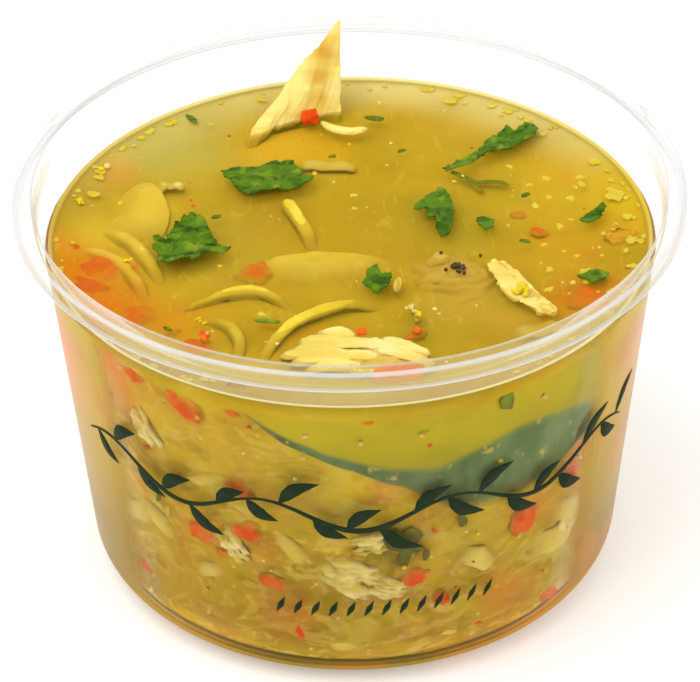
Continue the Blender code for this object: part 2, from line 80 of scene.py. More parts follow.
class Bench:
    # one material under construction
    def __init__(self, name):
        self.material = bpy.data.materials.new(name)
        self.material.use_nodes = True
        self.tree = self.material.node_tree
        self.tree.nodes.clear()
        self.spot = None
        self.parts = None
        self.base = None
        self.deep = None
        self.above = 0.0

    def node(self, kind, settings=None, inputs=None, output=0):
        made = self.tree.nodes.new(kind)
        for key, value in (settings or {}).items():
            setattr(made, key, value)
        for key, value in (inputs or {}).items():
            if isinstance(value, Wire):
                self.tree.links.new(value.socket, made.inputs[key])
            else:
                made.inputs[key].default_value = value
        return Wire(self, made.outputs[output])

    def sum(self, operation, a, b=0.0):
        return self.node("ShaderNodeMath", {"operation": operation}, {0: a, 1: b})

    def place(self):
        if not self.spot:
            self.spot = self.node("ShaderNodeTexCoord").other("Object")
        return self.spot

    def axes(self):
        # x, y and z in millimetres
        if not self.parts:
            x = self.node("ShaderNodeSeparateXYZ", inputs={0: self.place()})
            self.parts = x * 1000, x.other("Y") * 1000, x.other("Z") * 1000
        return self.parts

    def near(self, centre, reach):
        # 1 at a place, falling to 0 at reach millimetres from it
        away = self.node("ShaderNodeVectorMath", {"operation": "DISTANCE"},
                         {0: self.place(), 1: Vector(centre) * mm}).other("Value")
        return self.ramp(away, reach * mm, 0.0)

    def cloud(self, scale, detail=2.0, roughness=0.5, stretch=(1, 1, 1), turn=(0, 0, 0), shift=(0, 0, 0),
              warp=0.0):
        spot = self.node("ShaderNodeMapping", inputs={
            "Vector": self.place(), "Scale": stretch, "Rotation": turn, "Location": shift})
        return self.node("ShaderNodeTexNoise", inputs={
            "Vector": spot, "Scale": scale, "Detail": detail, "Roughness": roughness, "Distortion": warp})

    def dots(self, scale, size, kept, shift=(0, 0, 0)):
        # round specks scattered in cells; kept is the share of the cells that hold one
        spot = self.node("ShaderNodeMapping", inputs={"Vector": self.place(), "Location": shift})
        cells = self.node("ShaderNodeTexVoronoi", inputs={"Vector": spot, "Scale": scale})
        chance = self.node("ShaderNodeSeparateColor", inputs={0: cells.other("Color")})
        return self.ramp(cells, size, size * 0.4) * self.sum("LESS_THAN", chance, kept)

    def ramp(self, value, low, high):
        return self.node("ShaderNodeMapRange", {"interpolation_type": "SMOOTHSTEP"},
                         {"Value": value, "From Min": low, "From Max": high})

    def tint(self, share, a, b):
        return self.node("ShaderNodeMix", {"data_type": "RGBA"}, {0: share, 6: a, 7: b}, 2)

    def lean(self, share, a, b):
        # between two directions
        return self.node("ShaderNodeMix", {"data_type": "VECTOR"}, {0: share, 4: a, 5: b}, 1)

    def outward(self):
        # the level direction away from the axis of the tub
        x, y = self.axes()[:2]
        return self.node("ShaderNodeVectorMath", {"operation": "NORMALIZE"},
                         {0: self.node("ShaderNodeCombineXYZ", inputs={0: x, 1: y})})

    def bump(self, height, strength, depth):
        # depth is in millimetres
        return self.node("ShaderNodeBump", inputs={"Height": height, "Strength": strength,
                                                   "Distance": depth * mm})

    def skin(self, **inputs):
        names = {key.replace("_", " "): value for key, value in inputs.items()}
        return self.node("ShaderNodeBsdfPrincipled", inputs=names)

    def seeThrough(self, share, shader):
        clear = self.node("ShaderNodeBsdfTransparent")
        return self.node("ShaderNodeMixShader", inputs={0: share, 1: clear, 2: shader})

    def done(self, shader):
        out = self.tree.nodes.new("ShaderNodeOutputMaterial")
        self.tree.links.new(shader.socket, out.inputs["Surface"])
        return self.material


def paint(red, green, blue):
    # a screen colour of 0 to 255 as linear light
    shares = [c / 255 for c in (red, green, blue)]
    linear = [c / 12.92 if c <= 0.04045 else ((c + 0.055) / 1.055) ** 2.4 for c in shares]
    return (*linear, 1.0)


# Mesh helpers

def ease(low, high, value):
    share = min(1.0, max(0.0, (value - low) / (high - low)))
    return share * share * (3 - 2 * share)


def curveThrough(points, count):
    # evenly spaced points on a smooth curve through the given ones
    points = [Vector(p) for p in points]
    ends = [2 * points[0] - points[1], *points, 2 * points[-1] - points[-2]]
    dense = []
    for before, start, end, after in zip(ends, ends[1:], ends[2:], ends[3:]):
        for k in range(16):
            t = k / 16
            bend = 2 * before - 5 * start + 4 * end - after
            twist = 3 * start - before - 3 * end + after
            dense.append(0.5 * (2 * start + (end - before) * t + bend * t * t + twist * t ** 3))
    dense.append(points[-1])
    lengths = [0.0]
    for a, b in zip(dense, dense[1:]):
        lengths.append(lengths[-1] + (b - a).length)
    path, at = [], 0
    for k in range(count):
        wanted = lengths[-1] * k / (count - 1)
        while at < len(dense) - 2 and lengths[at + 1] < wanted:
            at += 1
        share = (wanted - lengths[at]) / max(1e-9, lengths[at + 1] - lengths[at])
        path.append(dense[at].lerp(dense[at + 1], share))
    return path


def spun(profile, segments):
    # a profile in millimetres, (radius, height), whose two ends lie on the axis, turned into a closed shell
    bm = bmesh.new()
    points = [bm.verts.new((radius * mm, 0, height * mm)) for radius, height in profile]
    edges = [bm.edges.new(pair) for pair in zip(points, points[1:])]
    bmesh.ops.spin(bm, geom=points + edges, cent=(0, 0, 0), axis=(0, 0, 1), dvec=(0, 0, 0),
                   angle=2 * math.pi, steps=segments, use_merge=True, use_duplicate=False)
    bmesh.ops.remove_doubles(bm, verts=bm.verts, dist=1e-6)
    bmesh.ops.recalc_face_normals(bm, faces=bm.faces)
    return bm


def arcOf(centre, radius, startAngle, endAngle, steps):
    for k in range(steps + 1):
        angle = math.radians(startAngle + (endAngle - startAngle) * k / steps)
        yield (centre[0] + radius * math.cos(angle), centre[1] + radius * math.sin(angle))


def join(target, piece):
    # adds a finished bmesh to another one
    carrier = bpy.data.meshes.new("carrier")
    piece.to_mesh(carrier)
    piece.free()
    target.from_mesh(carrier)
    bpy.data.meshes.remove(carrier)


def softened(bm, levels):
    # the same shape after Subdivision Surface
    carrier = bpy.data.meshes.new("carrier")
    bm.to_mesh(carrier)
    bm.free()
    holder = bpy.data.objects.new("holder", carrier)
    bpy.context.scene.collection.objects.link(holder)
    smooth = holder.modifiers.new("smooth", "SUBSURF")
    smooth.levels = levels
    smooth.render_levels = levels
    fine = bmesh.new()
    fine.from_mesh(holder.evaluated_get(bpy.context.evaluated_depsgraph_get()).to_mesh())
    bpy.data.objects.remove(holder)
    bpy.data.meshes.remove(carrier)
    return fine


def nodeCopy(name):
    bm = bmesh.new()
    bm.from_mesh(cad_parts[name].data)
    bmesh.ops.remove_doubles(bm, verts=bm.verts, dist=1e-6)
    return bm


def roughened(bm, amount, scale, seed=0.0, along=None, squeeze=0.2):
    # pushes the skin in and out by millimetres of noise; along is a direction in which the noise is drawn out
    bm.normal_update()
    moves = []
    for v in bm.verts:
        spot = v.co / mm
        if along:
            spot = spot - along * spot.dot(along) * (1 - squeeze)
        push = noise.fractal(spot * scale + Vector((seed, seed, 0)), 0.6, 2.0, 3)
        moves.append((v, v.normal * push * amount * mm))
    for v, move in moves:
        v.co += move


def tornSlab(outline, low, high, along, relief, seed):
    # a piece torn along its fibres, with a soft upper edge
    bm = bmesh.new()
    bm.faces.new([bm.verts.new((x * mm, y * mm, low * mm)) for x, y in outline])
    bmesh.ops.recalc_face_normals(bm, faces=bm.faces)
    middle = sum((v.co for v in bm.verts), Vector()) / len(bm.verts)
    made = bmesh.ops.extrude_face_region(bm, geom=bm.faces[:])["geom"]
    lifted = [g for g in made if isinstance(g, bmesh.types.BMVert)]
    bmesh.ops.translate(bm, vec=(0, 0, (high - low) * 0.75 * mm), verts=lifted)
    top = [g for g in made if isinstance(g, bmesh.types.BMFace)]
    bmesh.ops.inset_region(bm, faces=top, thickness=min(0.9, (high - low) * 0.35) * mm,
                           depth=(high - low) * 0.25 * mm)
    bmesh.ops.triangulate(bm, faces=bm.faces)
    for k in range(5):
        longEdges = [e for e in bm.edges if e.calc_length() > 0.9 * mm]
        if not longEdges:
            break
        bmesh.ops.subdivide_edges(bm, edges=longEdges, cuts=1)
        bmesh.ops.triangulate(bm, faces=bm.faces)
        bmesh.ops.smooth_vert(bm, verts=bm.verts, factor=0.3, use_axis_x=True, use_axis_y=True,
                              use_axis_z=True)
    roughened(bm, relief, 0.7, seed * 4.1, Vector(along).normalized(), 0.18)
    roughened(bm, relief * 0.4, 2.2, seed * 7.3, Vector(along).normalized(), 0.3)
    return bm


def inWords(name):
    # a node's name as the name of a piece
    first, *rest = name.split("_")
    return first + "".join(word.capitalize() for word in rest)


def showPiece(name, bm, material, slot, nodes=(), smoothBelow=60):
    # smoothBelow is the angle in degrees above which an edge stays sharp
    bmesh.ops.recalc_face_normals(bm, faces=bm.faces)
    mesh = bpy.data.meshes.new(name)
    bm.to_mesh(mesh)
    bm.free()
    mesh.shade_smooth()
    mesh.set_sharp_from_angle(angle=math.radians(smoothBelow))
    mesh.materials.append(material)
    piece = bpy.data.objects.new(name, mesh)
    bpy.context.scene.collection.objects.link(piece)
    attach(piece, "root")
    if nodes:
        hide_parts(*nodes)
    return piece


# Soup: a cloudy body, and a thin clear skin over it; what floats between them fades with its depth

soup = {
    "level": 63.3, "climb": 0.7, "floor": 1.5,
    "wallAtCorner": 46.4, "cornerHeight": 8.4, "corner": 7.7, "wallSlope": 0.1111,
    # how far the skin reaches into the wall
    "inWall": 0.15,
    # how far the body lies inside the skin, and the depth at which a piece in the soup is lost
    "clearTop": 1.9, "clearSide": 1.6, "clearBottom": 0.3, "fade": 2.3,
    # near the wall the body follows the skin and then falls away: distance from the wall, depth
    "shoulder": [(0.12, -0.42), (0.5, -0.18), (1.3, 0.06), (2.4, 0.2), (4.0, 0.5), (6.0, 1.0), (8.5, 1.6)],
    "glow": 0.6,
    "colour": paint(196, 160, 30), "pale": paint(222, 188, 52), "dark": paint(170, 136, 22),
    "warm": paint(212, 148, 22), "side": paint(190, 156, 40), "sideLow": paint(152, 122, 34),
    "sideDark": paint(136, 108, 32), "sidePale": paint(208, 182, 92), "sideWarm": paint(198, 128, 50),
    "sideFlake": paint(206, 180, 78), "sideRose": paint(190, 132, 84),
    # edge, leftEdge, rightEdge and lip colour the meniscus, whose pale back and front are painted highlight;
    # edge and rightEdge also colour the painted rim light
    "edge": paint(248, 234, 150), "leftEdge": paint(232, 190, 70), "rightEdge": paint(240, 204, 40),
    "lip": paint(246, 238, 176), "crumb": paint(240, 214, 84), "fleck": paint(226, 108, 24),
    "green": paint(150, 148, 40),
    # patches of another colour: x, y, reach, colour, share; those at (-12, 33) and (-37, -5) are also painted
    # light, brightening the broth where the flap and the curled noodles shade it
    "patches": [(-34, 37, 24, paint(194, 196, 100), 0.9), (-12, 33, 15, paint(244, 188, 44), 0.9),
                (27, 44, 20, paint(232, 200, 84), 0.5), (38, 17, 24, paint(236, 196, 46), 0.75),
                (49, 7, 14, paint(246, 208, 30), 0.7), (36, -4, 17, paint(228, 172, 34), 0.6),
                (4, 9, 17, paint(190, 156, 30), 0.6), (-22, 4, 17, paint(182, 160, 50), 0.7),
                (-2, -2, 12, paint(188, 160, 34), 0.5), (-46, -9, 14, paint(244, 118, 10), 0.85),
                (-42, -19, 13, paint(240, 112, 10), 0.85), (-51, 0, 8, paint(250, 150, 40), 0.7),
                (-30, -23, 10, paint(228, 136, 26), 0.6), (40, -18, 12, paint(238, 116, 10), 0.85),
                (31, -29, 10, paint(228, 160, 60), 0.5), (19, -19, 12, paint(212, 168, 66), 0.7),
                (15, -9, 7, paint(206, 172, 66), 0.6), (21, -31, 11, paint(196, 152, 34), 0.6),
                (-17, -29, 8, paint(168, 134, 20), 0.6), (-26, -3, 7, paint(160, 146, 34), 0.5),
                (27, 17, 8, paint(168, 154, 30), 0.5), (33.2, 2.3, 3, paint(236, 130, 30), 0.8),
                (29.5, 8.5, 2.4, paint(230, 140, 36), 0.7), (38.5, 20.5, 3.4, paint(236, 166, 50), 0.6),
                (41.5, -4, 3.4, paint(236, 140, 44), 0.6), (-3, 25, 5, paint(232, 196, 60), 0.6),
                (-41.7, 23.3, 7, paint(236, 150, 50), 0.75), (-8.8, 26, 5, paint(224, 156, 36), 0.5),
                (-6, 5, 9, paint(206, 170, 36), 0.4), (12, 30, 9, paint(206, 170, 44), 0.5),
                (10, -4, 7, paint(176, 146, 36), 0.5), (-44, 4, 9, paint(240, 202, 60), 0.8),
                (-37, -5, 9, paint(240, 196, 52), 0.7), (-36, 12, 8, paint(246, 214, 64), 0.7),
                (-45, 28, 7, paint(216, 176, 86), 0.5), (26, -24, 6, paint(222, 170, 70), 0.5),
                (-4, 30, 8, paint(232, 172, 30), 0.6), (-20, -12, 8, paint(190, 140, 50), 0.5),
                (47, 2, 8, paint(240, 176, 40), 0.6), (1, -47, 10, paint(196, 178, 40), 0.5)],
    # the same at the wall's outlines
    "edgePatches": [(-80, 52, 22, paint(232, 130, 78), 0.9), (-74, 30, 16, paint(190, 150, 66), 0.6),
                    (80, 50, 20, paint(226, 164, 110), 0.9), (76, 26, 18, paint(206, 160, 84), 0.6),
                    (40, 2, 22, paint(186, 122, 50), 0.6), (-40, 2, 22, paint(180, 134, 48), 0.6)],
    # the same against the wall: azimuth, height, reach, colour, share
    "wallPatches": [(-52, 55, 14, paint(220, 138, 50), 0.6), (-62, 30, 12, paint(196, 148, 60), 0.5),
                    (-6, 57, 15, paint(206, 186, 50), 0.6), (60, 46, 14, paint(214, 168, 84), 0.6),
                    (70, 52, 14, paint(222, 152, 96), 0.7), (62, 9, 15, paint(214, 180, 130), 0.6),
                    (-10, 43, 12, paint(166, 140, 44), 0.6), (-24, 48, 12, paint(194, 152, 56), 0.5),
                    (8, 30, 10, paint(98, 82, 36), 0.85), (26, 28, 13, paint(176, 144, 50), 0.5),
                    (-38, 18, 14, paint(182, 136, 46), 0.5), (38, 8, 12, paint(190, 126, 60), 0.5),
                    (48, 29, 12, paint(198, 150, 58), 0.5), (-60, 10, 13, paint(200, 150, 80), 0.4),
                    (20, 41, 11, paint(120, 116, 44), 0.5), (4, 18, 9, paint(184, 150, 50), 0.4),
                    (-70, 54, 14, paint(226, 120, 60), 0.7), (-57, 58, 10, paint(230, 104, 24), 0.8),
                    (-20, 29, 8, paint(196, 116, 44), 0.5), (-34, 30, 8, paint(200, 110, 44), 0.4),
                    (40, 30, 8, paint(204, 104, 40), 0.5), (55, 36, 9, paint(206, 92, 44), 0.6),
                    (-15, 14, 10, paint(196, 110, 44), 0.5), (20, 7, 9, paint(180, 128, 50), 0.5),
                    (-45, 41, 10, paint(188, 146, 56), 0.5), (33, 14, 9, paint(206, 112, 50), 0.5),
                    (-30, 8, 12, paint(178, 132, 46), 0.6), (0, 5, 12, paint(172, 140, 42), 0.6)],
}


def soupWall(height):
    return soup["wallAtCorner"] + (height - soup["cornerHeight"]) * soup["wallSlope"]


def wallSpot(azimuth, height, inside):
    # a place inside the wall; azimuth 0 faces the viewer and grows to the right
    angle = math.radians(azimuth)
    radius = soupWall(height) - inside
    return Vector((radius * math.sin(angle), -radius * math.cos(angle), height))


def laid(bench, colour, pattern, low, high, share, tone):
    # a tone laid over a colour where a pattern rises from low to high
    return bench.tint(bench.ramp(pattern, low, high) * share, colour, tone)


def patched(bench, colour, places):
    # patches of other tones laid over a colour
    for centre, reach, tone, share in places:
        colour = bench.tint(bench.near(centre, reach) * share, colour, tone)
    return colour


def alongWall(places, inside):
    # patches given by azimuth and height, placed at a distance inside the wall
    return [(wallSpot(azimuth, height, inside), *rest) for azimuth, height, *rest in places]


def murk(bench):
    # the broth's colour at a place: its own tones, with a painted light that brightens its rim
    if bench.base:
        return bench.base
    x, y, z = bench.axes()
    onTop = bench.ramp(z, 56.0, 61.0)
    below = 1 - onTop
    colour = bench.tint(bench.ramp(z, 12.0, 46.0), soup["sideLow"], soup["side"])
    colour = bench.tint(onTop, colour, soup["colour"])
    colour = laid(bench, colour, bench.cloud(34, 4, 0.6, warp=0.5), 0.4, 0.7, 0.6, soup["pale"])
    colour = laid(bench, colour, bench.cloud(52, 2, shift=(0.4, 0, 0)), 0.52, 0.74, 0.5, soup["dark"])
    colour = laid(bench, colour, bench.cloud(60, 2, shift=(0, 0.7, 0)), 0.52, 0.72, 0.45, soup["warm"])
    colour = laid(bench, colour, bench.cloud(26, 1, shift=(0, 0, 0.9)), 0.52, 0.7, 0.4, soup["green"])
    colour = laid(bench, colour, bench.cloud(170, 4, 0.6, warp=0.6), 0.5, 0.66, 0.22, soup["pale"])
    # these show against the wall alone
    streaks = bench.cloud(110, 4, 0.6, stretch=(1, 1, 2.2), shift=(0.8, 0.1, 0), warp=0.6)
    colour = laid(bench, colour, streaks, 0.48, 0.66, below * 0.6, soup["sideDark"])
    warmth = bench.cloud(75, 3, 0.6, shift=(0.5, 0.9, 0.2), warp=0.8)
    colour = laid(bench, colour, warmth, 0.5, 0.66, below * 0.55, soup["sideWarm"])
    flakes = bench.cloud(100, 4, 0.62, stretch=(1, 1, 1.7), shift=(0.6, 0.2, 0.9), warp=1.8)
    colour = laid(bench, colour, flakes, 0.53, 0.58, below * 0.6, soup["sideFlake"])
    blush = bench.cloud(84, 4, 0.6, stretch=(1, 1, 1.3), shift=(0.9, 0.5, 0.1), warp=1.4)
    colour = laid(bench, colour, blush, 0.55, 0.63, below * 0.5, soup["sideRose"])
    wisps = bench.cloud(170, 5, 0.65, stretch=(1, 1, 1.6), shift=(0.1, 0.6, 0.4), warp=1.2)
    colour = laid(bench, colour, wisps, 0.52, 0.68, below * 0.6, soup["sidePale"])
    onSurface = [((x0, y0, soup["level"] - 1.5), *rest) for x0, y0, *rest in soup["patches"]]
    colour = patched(bench, colour, onSurface)
    colour = patched(bench, colour, alongWall(soup["wallPatches"], 1.0))
    threads = bench.cloud(420, 3, 0.6, stretch=(1, 0.3, 1), turn=(0, 0, 0.5), warp=1.5)
    colour = laid(bench, colour, threads, 0.58, 0.7, 0.3, soup["crumb"])
    colour = bench.tint(bench.dots(620, 0.26, 0.07) * (0.35 + below * 0.3), colour, soup["crumb"])
    flecks = bench.dots(520, 0.3, 0.05, (0.3, 0.2, 0.1))
    colour = bench.tint(flecks * (0.3 + below * 0.4), colour, soup["fleck"])
    # painted light: a lighter rim, widest at the back
    away = (x * x + y * y) ** 0.5
    rimGlow = bench.ramp(away, 42.0, 51.5) * onTop * bench.ramp(y, -4.0, 38.0)
    toRight = bench.ramp(x, 24.0, 46.0) * bench.ramp(y, 34.0, 14.0)
    rimLight = bench.tint(toRight, soup["edge"], soup["rightEdge"])
    bench.base = bench.tint(rimGlow * (0.35 + bench.ramp(x, -42.0, 0.0) * 0.55), colour, rimLight)
    return bench.base


def hazeColour(bench):
    # a simpler broth colour, for the clear skin and the wall
    z = bench.axes()[2]
    colour = bench.tint(bench.ramp(z, 12.0, 46.0), soup["sideLow"], soup["side"])
    colour = laid(bench, colour, bench.cloud(70, 2), 0.48, 0.66, 0.6, soup["sideWarm"])
    colour = patched(bench, colour, alongWall(soup["edgePatches"], 0.0))
    return bench.tint(bench.ramp(z, 56.0, 61.0), colour, soup["colour"])


def depths(bench):
    # millimetres below the soup's top, and inside its wall
    if not bench.deep:
        x, y, z = bench.axes()
        side = (z - soup["cornerHeight"]) * soup["wallSlope"] + soup["wallAtCorner"] - (x * x + y * y) ** 0.5
        down = soup["level"] + bench.above - z
        bench.deep = bench.sum("MAXIMUM", down, 0.0), bench.sum("MAXIMUM", side, 0.0)
    return bench.deep


def clearness(bench, reach=1.0, least=0.0, veils=()):
    # 1 where a piece is seen plainly and 0 where the broth hides it; veils are places where it is lost too
    down, inward = depths(bench)
    clear = bench.ramp(bench.sum("MINIMUM", down, inward), soup["fade"] * reach, 0.25) * (1 - least)
    for centre, far, share in veils:
        clear = clear * (1 - bench.near(centre, far) * share)
    return clear


def calmed(bench, clear, bumped):
    # under the surface the shading turns into that of the surface itself
    down, inward = depths(bench)
    flat = bench.lean(bench.ramp(down - inward, -2.0, 2.0), (0, 0, 1), bench.outward())
    mixed = bench.lean(clear, flat, bumped)
    return bench.node("ShaderNodeVectorMath", {"operation": "NORMALIZE"}, {0: mixed})


def wetMaterial(bench, colour, bumped, reach=1.0, least=0.0, roughness=0.36, gloss=0.1, above=0.0, veils=(),
                relief=0.7):
    # a material whose colour and relief sink into the broth, from above millimetres over the soup's top
    bench.above = above
    clear = clearness(bench, reach, least, veils)
    return bench.done(bench.skin(Base_Color=bench.tint(clear, murk(bench), colour), Roughness=roughness,
                                 Specular_IOR_Level=gloss, Normal=calmed(bench, clear * relief, bumped)))


def brothBodyMaterial():
    bench = Bench("cloudyBroth")
    colour = laid(bench, murk(bench), bench.cloud(240, 3), 0.35, 0.75, 0.15, soup["pale"])
    bumped = bench.bump(bench.cloud(120, 2), 0.1, 0.6)
    # light passes down through the soup and leaves near the base, where no lamp reaches
    glow = bench.tint(bench.ramp(bench.axes()[2], 10.0, 3.6), (0, 0, 0, 1), colour)
    return bench.done(bench.skin(
        Base_Color=colour, Roughness=0.7, Specular_IOR_Level=0.0, Normal=calmed(bench, 0.35, bumped),
        Emission_Color=glow, Emission_Strength=soup["glow"]))


def brothSkinMaterial():
    bench = Bench("brothSkin")
    x, y, z = bench.axes()
    facing = bench.node("ShaderNodeLayerWeight", inputs={"Blend": 0.35}).other("Facing")
    onTop = bench.ramp(z, 61.0, 63.0)
    lip = bench.ramp(z, soup["level"] + 0.08, soup["level"] + 0.6)
    veil = 0.07 + onTop * (0.1 + bench.ramp(bench.cloud(60, 3, shift=(0.2, 0, 0)), 0.35, 0.7) * 0.12)
    veil = veil + (facing ** 4) * bench.ramp(z, 6.0, 12.0) * 0.9 + lip * 0.9
    # the meniscus: yellow at its sides, and a pale painted highlight at the back and along the front
    colour = bench.tint(lip * bench.ramp(y, -6.0, 44.0) * 0.9, hazeColour(bench), soup["edge"])
    colour = bench.tint(lip * bench.ramp(x, -20.0, -50.0) * 0.5, colour, soup["leftEdge"])
    colour = bench.tint(lip * bench.ramp(x, 30.0, 50.0) * 0.5, colour, soup["rightEdge"])
    colour = bench.tint(lip * bench.ramp(y, 10.0, -30.0) * 0.8, colour, soup["lip"])
    return bench.done(bench.seeThrough(bench.sum("MINIMUM", veil, 0.96), bench.skin(
        Base_Color=colour, Roughness=0.12, Specular_IOR_Level=0.07)))


def makeSoup():
    corner = (soup["wallAtCorner"] - soup["corner"], soup["cornerHeight"])
    level, inWall = soup["level"], soup["inWall"]
    edge = soupWall(level)
    skin = [(0, soup["floor"] - inWall), (corner[0] - 4, soup["floor"] - inWall)]
    skin += arcOf(corner, soup["corner"] + inWall - 0.8, -84, -4, 12)
    skin += [(soupWall(z) + inWall, z) for z in (14, 22, 30, 38, 46, 54, 60)]
    skin += [(edge + inWall, level + soup["climb"]), (edge - 0.25, level + 0.5), (edge - 0.8, level + 0.22),
             (edge - 1.6, level + 0.06), (edge - 2.6, level)]
    skin += [(edge * k / 12, level) for k in range(11, -1, -1)]
    bm = spun(skin, 144)
    for v in bm.verts:
        if v.co.z > (level - 0.01) * mm and v.co.xy.length < (edge - 2) * mm:
            v.co.z += 0.05 * mm * noise.noise(v.co / mm * 0.15)
    showPiece("brothSkin", bm, brothSkinMaterial(), "soup", ["broth"])

    top, side, low = level - soup["clearTop"], soup["clearSide"], soup["clearBottom"]
    body = [(0, soup["floor"] + low), (corner[0] - 5, soup["floor"] + low)]
    body += arcOf(corner, soup["corner"] - low - 0.8, -84, -4, 10)
    for z in range(10, 63):
        body.append((soupWall(z) - side + (side - low) * max(ease(20, 9, z), ease(58, 61.5, z)), z))
    body += [(edge - inside, level - under) for inside, under in soup["shoulder"]]
    body += [((edge - 11) * k / 22, top) for k in range(22, -1, -1)]
    bm = spun(body, 180)
    roughened(bm, 0.08, 0.13)
    showPiece("brothBody", bm, brothBodyMaterial(), "soup")
    print("soup made")


makeSoup()


# Tub

tub = {
    "rim": 58.5, "top": 74.2, "skirt": 3.6, "lip": 3.4, "base": 47.1, "corner": 8.4,
    "foot": 38.4, "footWidth": 4.2, "footHeight": 0.8, "wall": 0.7, "atSoup": 53.2, "step": 68.2,
    "stepOut": 1.0,
    "tone": paint(244, 244, 236), "edgeTone": paint(164, 168, 172), "soupTone": paint(210, 190, 98),
    "roseTone": paint(238, 190, 160), "highlightTone": paint(222, 224, 226),
    "veil": 0.003, "rimVeil": 0.1, "edgeVeil": 0.6, "glow": 0.35,
}


def plasticMaterial():
    bench = Bench("clearPlastic")
    x, y, z = bench.axes()
    facing = bench.node("ShaderNodeLayerWeight", inputs={"Blend": 0.3}).other("Facing")
    atRim = bench.ramp(z, 67.2, 69.0)
    away = (x * x + y * y) ** 0.5

    def line(value, centre, half):
        return bench.ramp(bench.sum("ABSOLUTE", value - centre), half, half * 0.3)

    # painted highlights: pale lines run round the rim's two edges, under its skirt and along the step
    inner, outer = tub["rim"] - tub["lip"], tub["rim"]
    highlightLines = line(away, inner + 0.2, 0.4) * bench.ramp(z, 72.8, 73.4)
    highlightLines = highlightLines + line(away, outer - 0.5, 0.5) * bench.ramp(z, 72.4, 73.0)
    highlightLines = highlightLines + bench.ramp(z, 71.3, 70.9) * bench.ramp(away, outer - 1.4, outer - 1.0)
    highlightLines = bench.sum("MINIMUM", highlightLines + line(z, 68.4, 0.4) * 0.35, 1.0)
    # the wall bends light, so the soup behind it shows right up to its edges and round the foot
    grazing = bench.node("ShaderNodeLayerWeight", inputs={"Blend": 0.5}).other("Facing")
    atSoup = bench.ramp(z, soup["level"] + 0.4, soup["level"] - 0.4)
    filled = bench.sum("MAXIMUM", atSoup * bench.ramp(grazing, 0.58, 0.7), bench.ramp(z, 5.0, 3.6) * 0.98)
    front = atRim * bench.ramp(y, 6.0, -26.0)
    veil = tub["veil"] + atRim * tub["rimVeil"] + (facing ** 4) * (0.12 + atRim * 0.88) * tub["edgeVeil"]
    veil = veil + bench.ramp(z, 63.9, 64.4) * bench.ramp(y, 0.0, -30.0) * 0.08
    veil = bench.sum("MINIMUM", veil + filled * 0.95 + highlightLines * 0.5, 0.96)
    # painted shade: the plastic turns grey towards its outlines
    colour = bench.tint(facing ** 3, tub["tone"], tub["edgeTone"])
    colour = bench.tint(front * 0.85, colour, tub["soupTone"])
    rosy = bench.ramp(bench.cloud(45, 2, shift=(0.3, 0.3, 0)), 0.46, 0.62)
    colour = bench.tint(rosy * front * bench.ramp(y, -52.0, -30.0) * 0.7, colour, tub["roseTone"])
    colour = bench.tint(highlightLines, colour, tub["highlightTone"])
    colour = bench.tint(bench.ramp(filled, 0.0, 0.12), colour, hazeColour(bench))
    plain = bench.node("ShaderNodeNewGeometry").other("Normal")
    turned = bench.lean(bench.ramp(z, 9.0, 6.0), plain, bench.outward())
    glow = bench.tint(bench.ramp(z, 8.0, 4.6), (0, 0, 0, 1), colour)
    milky = bench.seeThrough(veil, bench.skin(
        Base_Color=colour, Roughness=0.3, Specular_IOR_Level=0.1, Normal=turned, Emission_Color=glow,
        Emission_Strength=tub["glow"]))
    shine = bench.node("ShaderNodeLayerWeight", inputs={"Blend": 0.1}).other("Fresnel")
    gloss = bench.skin(Base_Color=(1, 1, 1, 1), Metallic=1.0, Roughness=0.09)
    return bench.done(bench.node("ShaderNodeMixShader", inputs={0: shine * (0.06 + atRim * 0.4), 1: milky,
                                                                2: gloss}))


def tubWall(height):
    slope = (tub["atSoup"] - tub["base"]) / (soup["level"] - tub["corner"])
    return tub["base"] + (height - tub["corner"]) * slope


def makeTub():
    footInner = tub["foot"] - tub["footWidth"]
    corner = (tub["base"] - tub["corner"], tub["corner"])
    stepLow = tub["step"] - 0.9
    inner = tub["rim"] - tub["lip"]
    root = tubWall(tub["step"]) + tub["stepOut"]
    skirt = tub["top"] - tub["skirt"]
    profile = [(0, tub["footHeight"]), (footInner - 1.4, tub["footHeight"]), (footInner - 0.5, 0.4),
               (footInner, 0)]
    profile += arcOf(corner, tub["corner"], -90, -4, 16)
    profile += [(tubWall(z), z) for z in (20, 35, 50, 60, stepLow - 0.6, stepLow)]
    profile += [(tubWall(tub["step"]) + tub["stepOut"] * 0.6, tub["step"]), (root, tub["step"] + 0.6)]
    profile += [(root + 0.15, skirt - 0.2), (root + 0.45, skirt + 0.5), (tub["rim"] - 1.7, skirt + 0.6)]
    profile += [(tub["rim"] - 1.3, skirt + 0.2), (tub["rim"] - 1.0, skirt), (tub["rim"] - 0.3, skirt),
                (tub["rim"] - 0.05, skirt + 0.2)]
    profile += arcOf((tub["rim"] - 1.3, tub["top"] - 1.3), 1.3, 0, 90, 8)
    profile += arcOf((inner + 0.7, tub["top"] - 0.7), 0.7, 90, 180, 6)
    profile += [(root - tub["wall"], tub["step"] + 1.0), (root - tub["wall"] - 0.35, tub["step"] + 0.45),
                (tubWall(stepLow) - tub["wall"], stepLow + 0.4)]
    profile += [(tubWall(z) - tub["wall"], z) for z in (60, 50, 35, 20)]
    profile += arcOf(corner, tub["corner"] - tub["wall"], -4, -90, 14)
    profile += [(0, tub["footHeight"] + tub["wall"])]
    showPiece("tubShell", spun(profile, 168), plasticMaterial(), "clear_plastic", ["tub"], 35)
    print("tub made")


makeTub()


# Noodles

